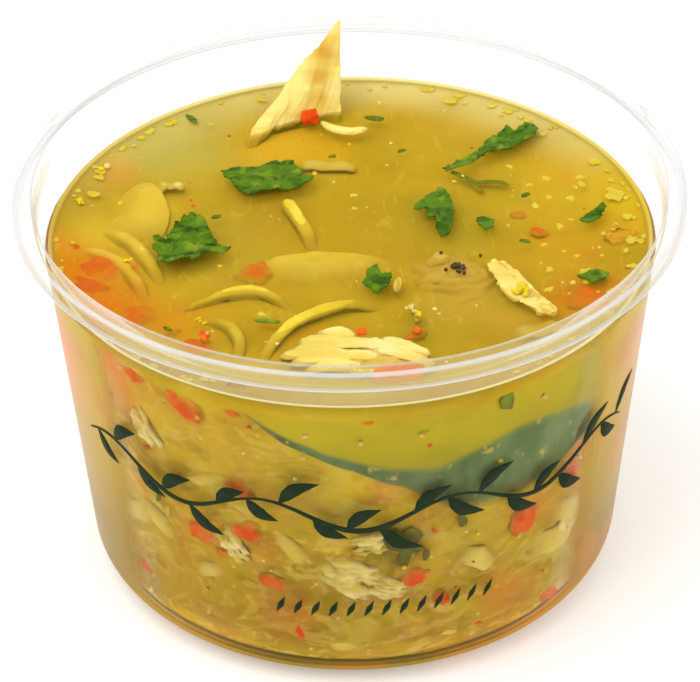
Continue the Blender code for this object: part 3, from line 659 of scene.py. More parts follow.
noodles = {
    "colour": paint(228, 198, 40), "pale": paint(240, 216, 70), "deep": paint(208, 166, 28),
    "sunk": paint(218, 190, 70), "sunkPale": paint(232, 210, 104), "fold": paint(248, 214, 54),
    "foldPale": paint(252, 228, 92),
    # each noodle at the surface: how deep it shows, how much the broth veils it, how far above the soup
    # that starts, and the places where it is lost
    "surface": {
        "noodle_arch_left": (0.8, 0.0, 0.3, [((-35, -19.5, 63.5), 11, 0.9), ((-9.5, -21, 63.0), 8, 0.7)]),
        "noodle_arch_front": (0.8, 0.0, 0.3, [((8, -20.5, 63.5), 13, 1.0), ((3, -20.5, 63.5), 8, 0.8)]),
        "noodle_ring": (0.7, 0.1, 0.4, [((-29, -24, 63.0), 8, 1.0)]),
        "noodle_stub": (0.7, 0.0, 0.3, [((-5.8, -3.0, 63.0), 8, 0.9)]),
        "noodle_curl_back": (0.7, 0.3, 0.3, [((-31, -14, 62.5), 9, 0.9), ((-46, 7, 63.0), 7, 0.8)]),
        "noodle_curl_front": (0.7, 0.3, 0.3, [((-35, -19, 62.5), 9, 0.9), ((-50, -1, 63.0), 6, 0.8)]),
    },
    # millimetres by which a noodle lies off its node; the others lie lower by sink
    "shifts": {"noodle_arch_left": (1.0, -0.8, -1.0), "noodle_curl_back": (0, 0, -1.5),
               "noodle_curl_front": (0, 0, -1.4)},
    "sink": 0.9, "swelling": 0.5,
    # broad sheets: outline, lowest and highest height, then places that stand higher: x, y, reach, lift
    "sheets": {
        "noodle_fold": ([(-38.8, 19.0), (-36.6, 20.6), (-34.2, 19.2), (-32.6, 15.0), (-31.6, 10.9),
                         (-31.9, 6.0), (-33.5, 1.5), (-38.0, -0.5), (-44.0, 0.5), (-49.0, 2.0),
                         (-50.5, 5.0), (-46.8, 9.5), (-42.5, 13.5)], 60.4, 62.0,
                        [(-35.6, 17.4, 7.5, 1.3), (-34.5, 9.0, 9.0, 0.9), (-44, 6, 8, 0.4)]),
        "noodle_slab": ([(-18.6, -8.4), (-14.0, -5.2), (-8.0, -4.0), (-2.0, -3.8), (4.0, -4.6), (8.6, -6.8),
                         (10.0, -12.0), (4.0, -17.5), (-3.0, -19.5), (-10.0, -18.5), (-16.5, -14.0)],
                        60.2, 61.8,
                        [(-6.0, -4.4, 11.0, 1.6), (3.0, -5.6, 8.0, 1.0), (-13.0, -6.0, 6.0, 1.0)]),
    },
    # where the sheets are lost: place, reach, share
    "sheetVeils": [((-50, 2, 61.5), 13, 1.0), ((-42, -2, 61.5), 9, 1.0), ((-33, -1, 61.5), 6, 1.0),
                   ((-45, 12, 61.5), 6, 0.7), ((-4, -19, 61.5), 11, 1.0), ((10, -12, 61.5), 10, 1.0),
                   ((-15, -15, 61.5), 8, 1.0), ((4, -16, 61.5), 9, 1.0), ((-19, -9, 61.5), 6, 1.0)],
    # under the surface: points, width, thickness and leans
    "under": [([(-8.5, 25.5, 61.4), (-4.0, 24.8, 62.2), (1.5, 24.6, 61.2)], 3.6, 1.6, [10, 20]),
              ([(24.0, -30.5, 60.0), (30.0, -28.0, 61.4), (36.0, -26.0, 61.0)], 6.0, 1.7, [10, 20]),
              ([(-34.0, 17.6, 62.2), (-32.0, 18.4, 62.6), (-29.4, 17.6, 62.4)], 2.4, 1.2, [10, 20])],
    # along the wall: start azimuth and height, end azimuth and height, depth, width
    "wall": [(-68, 21.5, -40, 27.5, 1.6, 5.0), (-54, 28.5, -38, 23.0, 1.4, 4.0),
             (-46, 38.5, -17, 47.5, 1.9, 3.2), (-20, 33.5, -6, 25.5, 1.5, 4.0),
             (20, 27.0, 33, 21.0, 1.2, 5.0), (36, 20.5, 60, 17.0, 1.2, 6.0), (42, 27.5, 62, 22.0, 1.5, 5.0),
             (-14, 9.5, 8, 11.0, 1.6, 5.0), (-66, 44, -50, 36, 1.8, 4.5), (46, 12.5, 66, 10.0, 1.5, 5.0),
             (-40, 17.5, -26, 21.0, 1.7, 4.0), (12, 13.0, 28, 9.5, 1.4, 4.0)],
    "atBack": 22, "seed": 21,
}


def noodleMaterial(name, reach, least=0.0, colour="colour", pale="pale", above=0.0, veils=()):
    bench = Bench(name)
    tone = bench.tint(bench.ramp(bench.cloud(160, 3), 0.35, 0.7), noodles[colour], noodles[pale])
    tone = laid(bench, tone, bench.cloud(300, 2, shift=(0.5, 0, 0)), 0.5, 0.75, 0.3, noodles["deep"])
    return wetMaterial(bench, tone, bench.bump(bench.cloud(220, 3), 0.2, 0.7), reach, least, above=above,
                       veils=veils, relief=0.45 if colour == "fold" else 0.6)


def ribbon(points, width, thick, leans, steps=26, sides=10, ripple=0.3):
    # a flat noodle swept through points in millimetres; lean 0 lies flat and 90 stands on edge
    path = curveThrough(points, steps)
    bm = bmesh.new()
    ring = bmesh.ops.create_circle(bm, segments=sides, radius=1.0)["verts"]
    bmesh.ops.scale(bm, vec=(width / 2, thick / 2, 1), verts=ring)
    for v in ring:
        v.co.y *= 1.25 if abs(v.co.x) < width * 0.4 else 1.0
    before = Matrix.Identity(4)
    edges = bm.edges[:]
    for k, centre in enumerate(path):
        along = (path[min(k + 1, steps - 1)] - path[max(k - 1, 0)]).normalized()
        t = k / (steps - 1)
        at = t * (len(leans) - 1)
        low = min(int(at), len(leans) - 2) if len(leans) > 1 else 0
        lean = leans[0] if len(leans) == 1 else leans[low] + (leans[low + 1] - leans[low]) * (at - low)
        lean += 14 * ripple * math.sin(t * 9 + centre.x)
        side = along.cross(Vector((0, 0, 1))).normalized()
        up = side.cross(along)
        turn = Matrix((side, up, along)).transposed().to_4x4() @ Matrix.Rotation(math.radians(lean), 4, "Z")
        size = Matrix.Scale(min(1.0, 0.55 + 5 * min(t, 1 - t)), 4)
        place = centre + Vector((0, 0, ripple * math.sin(t * 11 + centre.y)))
        now = Matrix.Translation(place) @ turn @ size
        if k:
            made = bmesh.ops.extrude_edge_only(bm, edges=edges)["geom"]
            ring = [g for g in made if isinstance(g, bmesh.types.BMVert)]
            newEdges = [g for g in made if isinstance(g, bmesh.types.BMEdge)]
            edges = [e for e in newEdges if all(v in ring for v in e.verts)]
        bmesh.ops.transform(bm, matrix=now @ before.inverted(), verts=ring)
        before = now
    bmesh.ops.holes_fill(bm, edges=bm.edges, sides=0)
    bmesh.ops.scale(bm, vec=(mm, mm, mm), verts=bm.verts)
    bmesh.ops.recalc_face_normals(bm, faces=bm.faces)
    return bm


def makeNoodles():
    for index, (name, (reach, least, above, veils)) in enumerate(noodles["surface"].items()):
        bm = softened(nodeCopy(name), 2)
        roughened(bm, 0.16, 0.3, index * 3.0)
        curled = "curl" in name
        if curled:
            # swollen and blurred by the broth
            bm.normal_update()
            for v in bm.verts:
                v.co += v.normal * noodles["swelling"] * mm
        shift = noodles["shifts"].get(name, (0, 0, -noodles["sink"]))
        bmesh.ops.translate(bm, vec=Vector(shift) * mm, verts=bm.verts)
        tones = ("fold", "foldPale") if curled else ("colour", "pale")
        dough = noodleMaterial(inWords(name) + "Dough", reach, least, *tones, above, veils)
        showPiece(inWords(name), bm, dough, "noodle", [name])
    veiled = noodleMaterial("veiledDough", 0.95, 0.0, "fold", "foldPale", 0.1, noodles["sheetVeils"])
    for seed, (name, (outline, low, high, lifts)) in enumerate(noodles["sheets"].items()):
        bm = tornSlab(outline, low, high, (1, 0.3, 0), 0.12, seed + 3)
        for v in bm.verts:
            for x, y, reach, lift in lifts:
                away = math.hypot(v.co.x / mm - x, v.co.y / mm - y)
                v.co.z += lift * mm * ease(reach, 0.0, away)
        showPiece(inWords(name), bm, veiled, "noodle", [name])
    sunk = bmesh.new()
    for points, width, thick, leans in noodles["under"]:
        join(sunk, ribbon(points, width, thick, leans))
    seen = list(noodles["wall"])
    draw = random.Random(noodles["seed"])
    for k in range(noodles["atBack"]):
        start = 72 + k * 10.2 + draw.uniform(-4, 4)
        height = draw.uniform(9, 56)
        end, endHeight = start + draw.uniform(12, 26), min(58, max(8, height + draw.uniform(-10, 10)))
        seen.append((start, height, end, endHeight, draw.uniform(1.1, 2.0), draw.uniform(3.5, 6.0)))
    for startAzimuth, low, endAzimuth, high, depth, width in seen:
        middle = (startAzimuth + endAzimuth) / 2
        points = [wallSpot(startAzimuth, low, depth + 2.4),
                  wallSpot(middle, (low + high) / 2 + draw.uniform(-2, 2), depth),
                  wallSpot(endAzimuth, high, depth + 2.2)]
        join(sunk, ribbon(points, width, 1.7, [84, 96], 18, 8))
    dough = noodleMaterial("sunkDough", 0.78, 0.15, "sunk", "sunkPale")
    showPiece("noodlesUnder", softened(sunk, 1), dough, "noodle")
    print("noodles made")


makeNoodles()


# Carrot and onion

carrots = {
    "colour": paint(236, 90, 0), "pale": paint(246, 122, 6), "deep": paint(222, 66, 0),
    "sunk": paint(236, 84, 6), "sunkDeep": paint(226, 54, 0),
    "surface": ["carrot_by_flap", "carrot_front", "carrot_right"],
    "shifts": {"carrot_by_flap": (0, 1.6, 0.5), "carrot_right": (0, 0, -0.8)},
    # under the surface: place, size, turn
    "top": [((-16.2, -9.0, 60.9), (7.4, 5.0, 3.6), 8), ((-43.4, -7.6, 60.3), (11.0, 8.5, 4.4), 20),
            ((-46.0, -13.6, 61.0), (7.4, 6.8, 4.2), 20), ((-49.0, -1.2, 61.8), (3.4, 2.8, 2.4), 0),
            ((-37.2, -22.8, 60.5), (9.0, 5.6, 4.0), 40), ((-26.0, -31.6, 60.7), (6.0, 5.0, 3.6), 15),
            ((-31.6, -26.0, 60.2), (4.6, 3.6, 3.0), 15), ((42.0, -17.6, 60.4), (9.0, 5.6, 3.6), 10),
            ((36.5, -16.4, 60.0), (6.5, 5.6, 3.0), 10), ((33.4, 2.0, 61.8), (2.6, 2.2, 1.6), 20),
            ((29.4, 8.6, 61.5), (1.9, 1.7, 1.3), 20), ((1.6, -30.8, 64.0), (1.7, 1.6, 1.2), 30),
            ((10.9, -28.6, 61.6), (3.6, 2.8, 1.8), 50), ((10.0, -32.0, 61.6), (2.4, 1.8, 1.5), 10)],
    # against the wall: azimuth, height, width, height and roll
    "wall": [(-34.2, 57.0, 8.2, 4.6, 38), (-33.3, 28.7, 5.4, 4.6, 8), (-22.9, 32.7, 5.6, 4.2, -4),
             (-24.2, 41.6, 5.0, 3.8, 12), (37.7, 29.4, 5.4, 5.6, 4), (50.9, 33.2, 4.4, 6.0, -8),
             (12.4, 23.6, 4.8, 3.2, -6), (18.1, 17.4, 3.8, 2.6, 10), (-40.4, 14.6, 4.6, 3.8, 30),
             (-17.6, 21.3, 4.8, 3.6, 0), (-11.4, 11.8, 4.2, 3.0, -8), (-23.7, 58.9, 2.4, 2.4, 0),
             (3.0, 59.6, 2.6, 2.2, 20), (-59.9, 48.0, 6.0, 7.0, 20), (-62.0, 23.2, 3.4, 5.0, 0),
             (48.4, 7.4, 6.0, 4.4, 0), (-29.2, 25.4, 2.2, 2.0, 0), (-47, 59.5, 5.0, 3.0, 30),
             (-52, 12.5, 4.6, 4.0, 10), (60, 52.0, 4.0, 6.0, 0), (58, 14.0, 6.0, 4.6, -20),
             (66, 42.0, 4.0, 5.0, 10), (27, 11.0, 3.0, 2.6, 40)],
    # each cube is cut larger than it shows, since rounding draws it in
    "cut": 1.3, "atBack": 30, "seed": 8,
}


def carrotMaterial(name, reach, least=0.0, colour="colour", deep="deep", above=0.0):
    bench = Bench(name)
    grain = bench.cloud(260, 4, stretch=(1, 0.4, 1))
    tone = bench.tint(bench.ramp(grain, 0.3, 0.7), carrots[deep], carrots[colour])
    tone = laid(bench, tone, bench.cloud(140, 2, shift=(0.3, 0, 0)), 0.5, 0.75, 0.6, carrots["pale"])
    return wetMaterial(bench, tone, bench.bump(bench.cloud(500, 3), 0.2, 0.4), reach, least, above=above)


def cube(centre, size, turn, seed, rounding=0.24):
    # a hand-cut piece, centre and size in millimetres
    draw = random.Random(seed)
    bm = bmesh.new()
    bmesh.ops.create_cube(bm, size=1.0)
    bmesh.ops.scale(bm, vec=[s * mm for s in size], verts=bm.verts)
    for v in bm.verts:
        v.co *= draw.uniform(0.86, 1.1)
    if rounding:
        bmesh.ops.bevel(bm, geom=bm.edges[:], offset=min(size) * rounding * mm, offset_type="OFFSET",
                        segments=2, profile=0.5, affect="EDGES", material=-1, clamp_overlap=True)
    bmesh.ops.rotate(bm, matrix=turn, verts=bm.verts)
    bmesh.ops.translate(bm, vec=Vector(centre) * mm, verts=bm.verts)
    return bm


def makeCarrots():
    crisp = carrotMaterial("carrotFlesh", 1.3)
    sunken = carrotMaterial("carrotAwash", 0.8, 0.1, "sunk", "colour", 0.5)
    for index, name in enumerate(carrots["surface"]):
        bm = softened(nodeCopy(name), 2)
        roughened(bm, 0.3, 0.8, index * 5.0)
        bmesh.ops.translate(bm, vec=Vector(carrots["shifts"].get(name, (0, 0, 0))) * mm, verts=bm.verts)
        flesh = sunken if name == "carrot_right" else crisp
        showPiece(inWords(name), bm, flesh, "carrot", [name])
    sunk = bmesh.new()
    for seed, (centre, size, degrees) in enumerate(carrots["top"]):
        turn = Matrix.Rotation(math.radians(degrees), 3, "Z") @ Matrix.Rotation(math.radians(9), 3, "X")
        join(sunk, cube(centre, [s * carrots["cut"] for s in size], turn, seed, 0))
    draw = random.Random(carrots["seed"])
    wallPieces = list(carrots["wall"])
    for k in range(carrots["atBack"]):
        azimuth, height = 74 + k * 7.2 + draw.uniform(-4, 4), draw.uniform(8, 58)
        wide, tall = draw.uniform(3.4, 7), draw.uniform(3.0, 6)
        wallPieces.append((azimuth, height, wide, tall, draw.uniform(-40, 40)))
    for seed, (azimuth, height, wide, tall, roll) in enumerate(wallPieces):
        turn = (Matrix.Rotation(math.radians(azimuth), 3, "Z") @ Matrix.Rotation(math.radians(6.3), 3, "X")
                @ Matrix.Rotation(math.radians(roll), 3, "Y"))
        centre = wallSpot(azimuth, height, 2.0 + draw.uniform(0.0, 0.5))
        join(sunk, cube(centre, (wide * carrots["cut"], 4.2, tall * carrots["cut"]), turn, seed + 50, 0))
    sunk = softened(sunk, 3)
    roughened(sunk, 0.8, 0.42)
    showPiece("carrotsUnder", sunk, carrotMaterial("sunkCarrot", 0.85, 0.05, "sunk", "sunkDeep"), "carrot")
    print("carrots made")


makeCarrots()


onion = {"colour": paint(210, 134, 20), "pale": paint(240, 184, 44), "sink": 0.6}


def makeOnion():
    bm = softened(nodeCopy("onion_scrap"), 2)
    roughened(bm, 0.9, 0.35, 6.0)
    bmesh.ops.translate(bm, vec=(0, 0, -onion["sink"] * mm), verts=bm.verts)
    bench = Bench("cookedOnion")
    colour = bench.tint(bench.ramp(bench.cloud(420, 3), 0.35, 0.65), onion["colour"], onion["pale"])
    material = wetMaterial(bench, colour, bench.bump(bench.cloud(700, 3), 0.3, 0.4), 0.8)
    showPiece("onionScrap", bm, material, "onion", ["onion_scrap"])
    print("onion made")


makeOnion()


# Chicken

chicken = {
    "colour": paint(252, 232, 130), "fibre": paint(242, 208, 94), "cream": paint(252, 230, 150),
    "olive": paint(222, 200, 86), "golden": paint(214, 160, 48), "rosy": paint(250, 220, 140),
    "bright": paint(252, 230, 136), "dark": paint(226, 188, 84), "darkFibre": paint(210, 170, 66),
    # patches of another tone on the flap and on the front piece: place, reach, tone, share; on the flap the
    # bright ones are painted light on its left panel and tip, and the golden ones painted shade over its
    # middle
    "flapPatches": [((-12.5, 41, 67), 7.0, "bright", 0.9), ((-8.6, 44.5, 71), 3.4, "bright", 0.9),
                    ((-4.4, 46, 73.4), 4.2, "golden", 1.0), ((-5.4, 44, 69.5), 3.6, "golden", 1.0),
                    ((-5.6, 42, 66), 2.8, "golden", 0.8), ((-2.2, 42.5, 68), 2.9, "rosy", 1.0),
                    ((-1.8, 41, 65.5), 2.6, "rosy", 1.0), ((-0.6, 48.5, 77.5), 3.4, "bright", 0.9)],
    "frontPatches": [((-9, -34, 63), 8.0, "olive", 0.9), ((5, -34, 64), 6.0, "cream", 0.8),
                     ((13, -40, 64), 4.0, "golden", 0.6)],
    # slabs: outline, lowest and highest height, direction of the fibres, depth of their relief
    "shred": [([(23.5, -9.9), (24.8, -8.7), (26.0, -8.4), (27.1, -10.0), (27.9, -11.6), (29.3, -13.2),
                (30.2, -14.5), (30.7, -16.0), (31.6, -17.9), (32.8, -19.2), (33.7, -21.4), (35.0, -22.9),
                (35.4, -24.5), (33.5, -25.6), (32.0, -25.3), (31.1, -23.7), (29.7, -22.8), (28.8, -21.2),
                (27.6, -20.6), (26.8, -19.0), (25.5, -16.5), (25.1, -14.6), (24.6, -12.4), (23.8, -11.5)],
               62.7, 64.0, (0.55, -0.83, 0), 0.6)],
    "front": [([(-3.4, -35.5), (-1.2, -33.6), (1.6, -33.2), (4.4, -33.8), (7.2, -35.0), (9.7, -36.5),
                (12.0, -38.7), (13.3, -40.5), (11.3, -41.6), (8.0, -41.5), (4.6, -41.7), (0.4, -41.4),
                (-2.4, -39.6), (-3.4, -37.6)], 61.8, 64.0, (1, -0.1, 0), 0.5)],
    # strands of the front piece: start, end, width; they dip under at both ends
    "strands": [((-5.6, -29.2), (0.6, -30.6), 2.6), ((-9.0, -32.0), (-0.5, -32.6), 2.4),
                ((-11.6, -34.6), (-2.2, -33.6), 2.2), ((-12.0, -36.0), (-1.0, -35.6), 2.4),
                ((-10.4, -37.8), (0.4, -37.4), 2.4), ((-8.0, -39.8), (2.0, -39.4), 2.6),
                ((-4.2, -33.4), (4.4, -33.8), 2.4), ((-1.6, -31.6), (6.4, -33.4), 1.8),
                ((1.0, -32.0), (11.0, -36.4), 2.2), ((3.0, -33.8), (13.6, -39.6), 2.2),
                ((-5.0, -36.4), (6.0, -37.0), 2.8), ((5.0, -31.4), (13.0, -36.6), 1.6)],
    "lobe": [([(16.6, -9.6), (17.4, -6.0), (18.7, -4.0), (20.4, -5.2), (21.0, -8.6), (19.2, -10.4)],
              61.8, 63.2, (0.3, 1, 0), 0.25),
             ([(7.4, -14.9), (8.1, -13.1), (8.8, -14.0), (8.6, -16.8), (7.7, -18.0), (7.2, -16.8)],
              62.4, 63.9, (0.3, 1, 0), 0.15),
             ([(9.7, -21.5), (10.4, -20.9), (11.2, -23.3), (12.0, -25.8), (10.9, -27.0), (10.3, -23.9)],
              62.2, 63.6, (0.3, 1, 0), 0.15)],
    # the skin over the sunk chunk: its middle, its reach to the right and to the back, its top, its folds
    "skin": {"centre": (18.6, -11.4), "reach": (8.4, 7.6), "top": 63.15, "fall": 1.9, "folds": 0.3,
             "spacing": 2.3},
    "pepper": [((18.4, -10.2), 1.0), ((17.7, -10.9), 0.8), ((19.3, -11.2), 0.9), ((18.6, -12.4), 0.7),
               ((16.4, -11.7), 0.45), ((15.7, -6.4), 0.35), ((22.4, -7.9), 0.35), ((19.5, -13.2), 0.35)],
    "pepperHeight": 63.75, "pepperTone": paint(52, 34, 12), "pepperPale": paint(98, 64, 18),
    # against the wall: azimuth, height, slope in degrees, length, width
    "wall": [(-1.5, 24.6, -28, 12.0, 6.0), (6.5, 21.4, -20, 9.0, 3.6), (-46, 47.5, -52, 9.0, 3.4),
             (64, 35.5, 40, 9.0, 4.5), (3.5, 32.0, 12, 8.0, 3.0), (52, 22.0, 62, 11.0, 4.0),
             (-26, 28.0, -60, 9.0, 3.0)],
    "atBack": 12, "seed": 31,
}


def chickenMaterial(name, colour, fibre, reach, along, least=0.0, patches=(), above=0.0, veils=()):
    bench = Bench(name)
    direction = Vector(along).normalized()
    heading = math.atan2(direction.y, direction.x)
    strands = bench.cloud(300, 4, 0.6, stretch=(0.14, 1, 1), turn=(0, math.asin(direction.z), -heading),
                          warp=0.3)
    body = bench.tint(bench.ramp(strands, 0.36, 0.62), chicken[fibre], chicken[colour])
    body = patched(bench, body, [(centre, far, chicken[tone], share) for centre, far, tone, share in patches])
    return wetMaterial(bench, body, bench.bump(strands, 0.35, 0.5), reach, least, 0.42, above=above,
                       veils=veils)


def wallShred(azimuth, height, turn, reach, width, seed):
    # a torn bundle of fibres against the wall; turn is the slope of its fibres and reach their length
    draw = random.Random(seed)
    bundle = bmesh.new()
    for k in range(7):
        across = (k / 6 - 0.5) * width
        start = -reach * draw.uniform(0.25, 0.62)
        end = reach * draw.uniform(0.25, 0.62)
        points = []
        for along, depth in ((start, 2.9), (start * 0.5, 1.7), (end * 0.5, 1.5), (end, 2.9)):
            s = along * math.cos(turn) - across * math.sin(turn)
            up = along * math.sin(turn) + across * math.cos(turn) + draw.uniform(-0.3, 0.3)
            points.append(wallSpot(azimuth + s * 1.13, height + up, depth + draw.uniform(-0.2, 0.3)))
        join(bundle, ribbon(points, width * 0.42, 1.6, [90], 14, 7, 0.1))
    return bundle


def foldedSkin(centre, reach, top, fall, folds, spacing):
    # a thin skin that domes up to just under the surface, with folds that run round its middle
    bm = bmesh.new()
    bmesh.ops.create_grid(bm, x_segments=56, y_segments=56, size=1.0)
    for v in bm.verts:
        x, y = centre[0] + v.co.x * reach[0], centre[1] + v.co.y * reach[1]
        wander = noise.noise(Vector((x * 0.22, y * 0.22, 4.0)))
        away = math.hypot(x - centre[0], (y - centre[1]) * 1.1) * (1 + 0.5 * wander)
        ridge = math.sin(away * spacing + 2.4 * noise.noise(Vector((x * 0.3, y * 0.3, 9.0))))
        height = top - fall * (away / reach[1]) ** 2 + folds * ridge * ease(0.0, 1.4, away)
        v.co = Vector((x, y, height + 0.25 * wander)) * mm
    bmesh.ops.recalc_face_normals(bm, faces=bm.faces)
    bmesh.ops.solidify(bm, geom=bm.faces[:], thickness=0.3 * mm)
    return bm


def makeFlapAndHook():
    for name, along, rough, patches in [
            ("chicken_flap", (0.35, 0.45, 0.82), 0.35, chicken["flapPatches"]),
            ("chicken_hook", (0.8, -0.5, 0), 0.18, ())]:
        bm = softened(nodeCopy(name), 2)
        roughened(bm, rough, 0.5, 2.0, Vector(along).normalized(), 0.12)
        if name == "chicken_flap":
            # its left edge draws in half-way up
            for v in bm.verts:
                waist = ease(63.0, 68.0, v.co.z / mm) * ease(78.0, 71.0, v.co.z / mm)
                v.co.x += (-1.5 * mm - v.co.x) * 0.13 * waist
        meat = chickenMaterial(inWords(name) + "Meat", "colour", "fibre", 0.55, along, 0.0, patches, 0.4,
                               [((-19.5, 30.5, 62.5), 7.0, 1.0)])
        showPiece(inWords(name), bm, meat, "chicken", [name], 75)


def makeTornPieces():
    for node, parts, colour, reach, above in [("chicken_front", "front", "bright", 0.6, 0.3),
                                              ("chicken_shred", "shred", "colour", 1.0, -0.6)]:
        whole = bmesh.new()
        for seed, (outline, low, high, along, relief) in enumerate(chicken[parts]):
            join(whole, tornSlab(outline, low, high, along, relief, seed + 1))
        if parts == "front":
            for seed, ((startX, startY), (endX, endY), width) in enumerate(chicken["strands"]):
                high = 63.0 + 0.3 * math.sin(seed * 2.4)
                points = [(startX, startY, high - 1.0),
                          (startX * 0.7 + endX * 0.3, startY * 0.7 + endY * 0.3, high),
                          (startX * 0.3 + endX * 0.7, startY * 0.3 + endY * 0.7, high + 0.15),
                          (endX, endY, high - 0.5)]
                strand = ribbon(points, width, 1.3, [12, -8, 6], 24, 12, 0.12)
                roughened(strand, 0.3, 0.8, seed * 2.0, Vector((1, 0, 0)), 0.2)
                join(whole, strand)
        meat = chickenMaterial(inWords(node) + "Meat", colour, "fibre", reach, chicken[parts][0][3],
                               above=above, patches=chicken["frontPatches"])
        showPiece(inWords(node), whole, meat, "chicken", [node], 75)


def makeChunk():
    chunk = softened(nodeCopy("chicken_chunk"), 2)
    roughened(chunk, 0.5, 0.35, 3.0)
    bmesh.ops.translate(chunk, vec=(0, 0, -0.5 * mm), verts=chunk.verts)
    join(chunk, foldedSkin(**chicken["skin"]))
    meat = chickenMaterial("chunkMeat", "dark", "darkFibre", 0.8, (0.8, -0.6, 0), 0.45, above=0.3)
    showPiece("chickenChunk", chunk, meat, "chicken", ["chicken_chunk"], 75)
    specks = bmesh.new()
    for seed, ((x, y), size) in enumerate(chicken["pepper"]):
        join(specks, cube((x, y, chicken["pepperHeight"]), (size * 1.3, size, 0.6),
                          Matrix.Rotation(seed * 0.9, 3, "Z"), seed + 300))
    roughened(specks, 0.25, 1.6)
    bench = Bench("blackPepper")
    husk = bench.tint(bench.ramp(bench.cloud(900, 3), 0.4, 0.6), chicken["pepperTone"], chicken["pepperPale"])
    showPiece("pepperSpecks", specks, bench.done(bench.skin(Base_Color=husk, Roughness=0.6)), "chicken")
    bits = bmesh.new()
    for seed, (outline, low, high, along, relief) in enumerate(chicken["lobe"]):
        join(bits, tornSlab(outline, low, high, along, relief, seed + 11))
    meat = chickenMaterial("bitMeat", "fibre", "dark", 0.6, (0.3, 1, 0), 0.35, above=0.5)
    showPiece("chickenBits", bits, meat, "chicken", smoothBelow=75)


def makeSunkChicken():
    sunk = bmesh.new()
    spots = list(chicken["wall"])
    draw = random.Random(chicken["seed"])
    for k in range(chicken["atBack"]):
        spots.append((78 + k * 17 + draw.uniform(-5, 5), draw.uniform(12, 52), draw.uniform(-60, 60),
                      draw.uniform(7, 12), draw.uniform(3, 6)))
    for seed, (azimuth, height, degrees, reach, width) in enumerate(spots):
        join(sunk, wallShred(azimuth, height, math.radians(degrees), reach, width, seed + 40))
    sunk = softened(sunk, 1)
    roughened(sunk, 0.5, 0.6, 4.0)
    meat = chickenMaterial("sunkMeat", "cream", "olive", 0.85, (1, 0, -0.4), 0.12)
    showPiece("chickenUnder", sunk, meat, "chicken")


makeFlapAndHook()
makeTornPieces()
makeChunk()
makeSunkChicken()
print("chicken made")


# Parsley

parsley = {
    "colour": paint(92, 128, 12), "dark": paint(44, 80, 0), "light": paint(150, 168, 40),
    "stale": paint(74, 78, 30), "leafAzimuth": 9.2, "leafHeight": 29.6,
    "sunkLeaf": [(-3.2, 3.4), (-1.9, 4.2), (-0.9, 6.0), (0.3, 4.5), (2.1, 5.6), (4.1, 3.4), (2.7, 1.7),
                 (4.6, 0.2), (2.1, -0.4), (1.3, -3.4), (-0.6, -2.8), (0.0, 0.4), (-2.3, 1.1)],
    "sunkStems": [([(18.2, 20.6, 62.9), (21.4, 18.8, 62.7), (25.0, 18.0, 62.5), (28.4, 17.6, 62.2)], 1.7),
                  ([(21.0, 19.0, 62.6), (22.6, 17.2, 62.3), (23.6, 15.2, 62.0)], 1.2)],
    "surface": {"parsley_left": 0.35, "parsley_centre": 0.3, "parsley_middle": 0.3, "parsley_small": 0.25,
                "parsley_right": 0.15, "parsley_edge": 0.12, "parsley_stem": 0.1, "parsley_long": 0.3},
    # flecks on the soup: x, y, length, width; and against the wall: azimuth, height, length
    "onTop": [(-28.4, 39.9, 2.0, 0.6), (4.8, 39.2, 1.9, 0.8), (-31.1, -28.0, 1.0, 0.4),
              (-14.3, -26.0, 2.2, 0.6), (31.0, 12.5, 1.0, 0.5), (-23.5, 7.0, 1.0, 0.5),
              (9.5, 28.0, 1.0, 0.4), (30.5, -2.5, 1.2, 0.5), (-3.0, 26.5, 0.9, 0.5),
              (18.3, -10.2, 0.9, 0.7)],
    "wall": [(5.8, 35.0, 1.2), (14.6, 28.4, 1.2), (22.2, 34.5, 1.4), (30, 59.4, 3.0), (-44, 33.0, 1.0),
             (-58, 41, 1.6)],
    "atBack": 46, "seed": 5, "fleckHeight": 63.35,
}


def parsleyMaterial(name, reach=1.6, least=0.0):
    bench = Bench(name)
    veins = bench.cloud(300, 4, 0.6, stretch=(0.55, 1.2, 1), turn=(0, 0, 0.25), warp=0.8)
    colour = bench.tint(bench.ramp(veins, 0.32, 0.62), parsley["dark"], parsley["colour"])
    colour = bench.tint(bench.ramp(bench.cloud(330, 3, shift=(0.2, 0.5, 0)), 0.52, 0.7) * 0.55, colour,
                        parsley["light"])
    # greyer and darker from 60 mm down
    low = bench.ramp(bench.axes()[2], 60.0, 56.0)
    colour = bench.tint(low * 0.85, colour, parsley["stale"])
    return wetMaterial(bench, colour, bench.bump(veins, 0.5, 0.5), reach, least, 0.4, 0.1)


def finer(bm, longest, times=5):
    # splits long edges without rounding the outline
    for k in range(times):
        longEdges = [e for e in bm.edges if e.calc_length() > longest * mm]
        if not longEdges:
            break
        bmesh.ops.subdivide_edges(bm, edges=longEdges, cuts=1)
        bmesh.ops.triangulate(bm, faces=bm.faces)


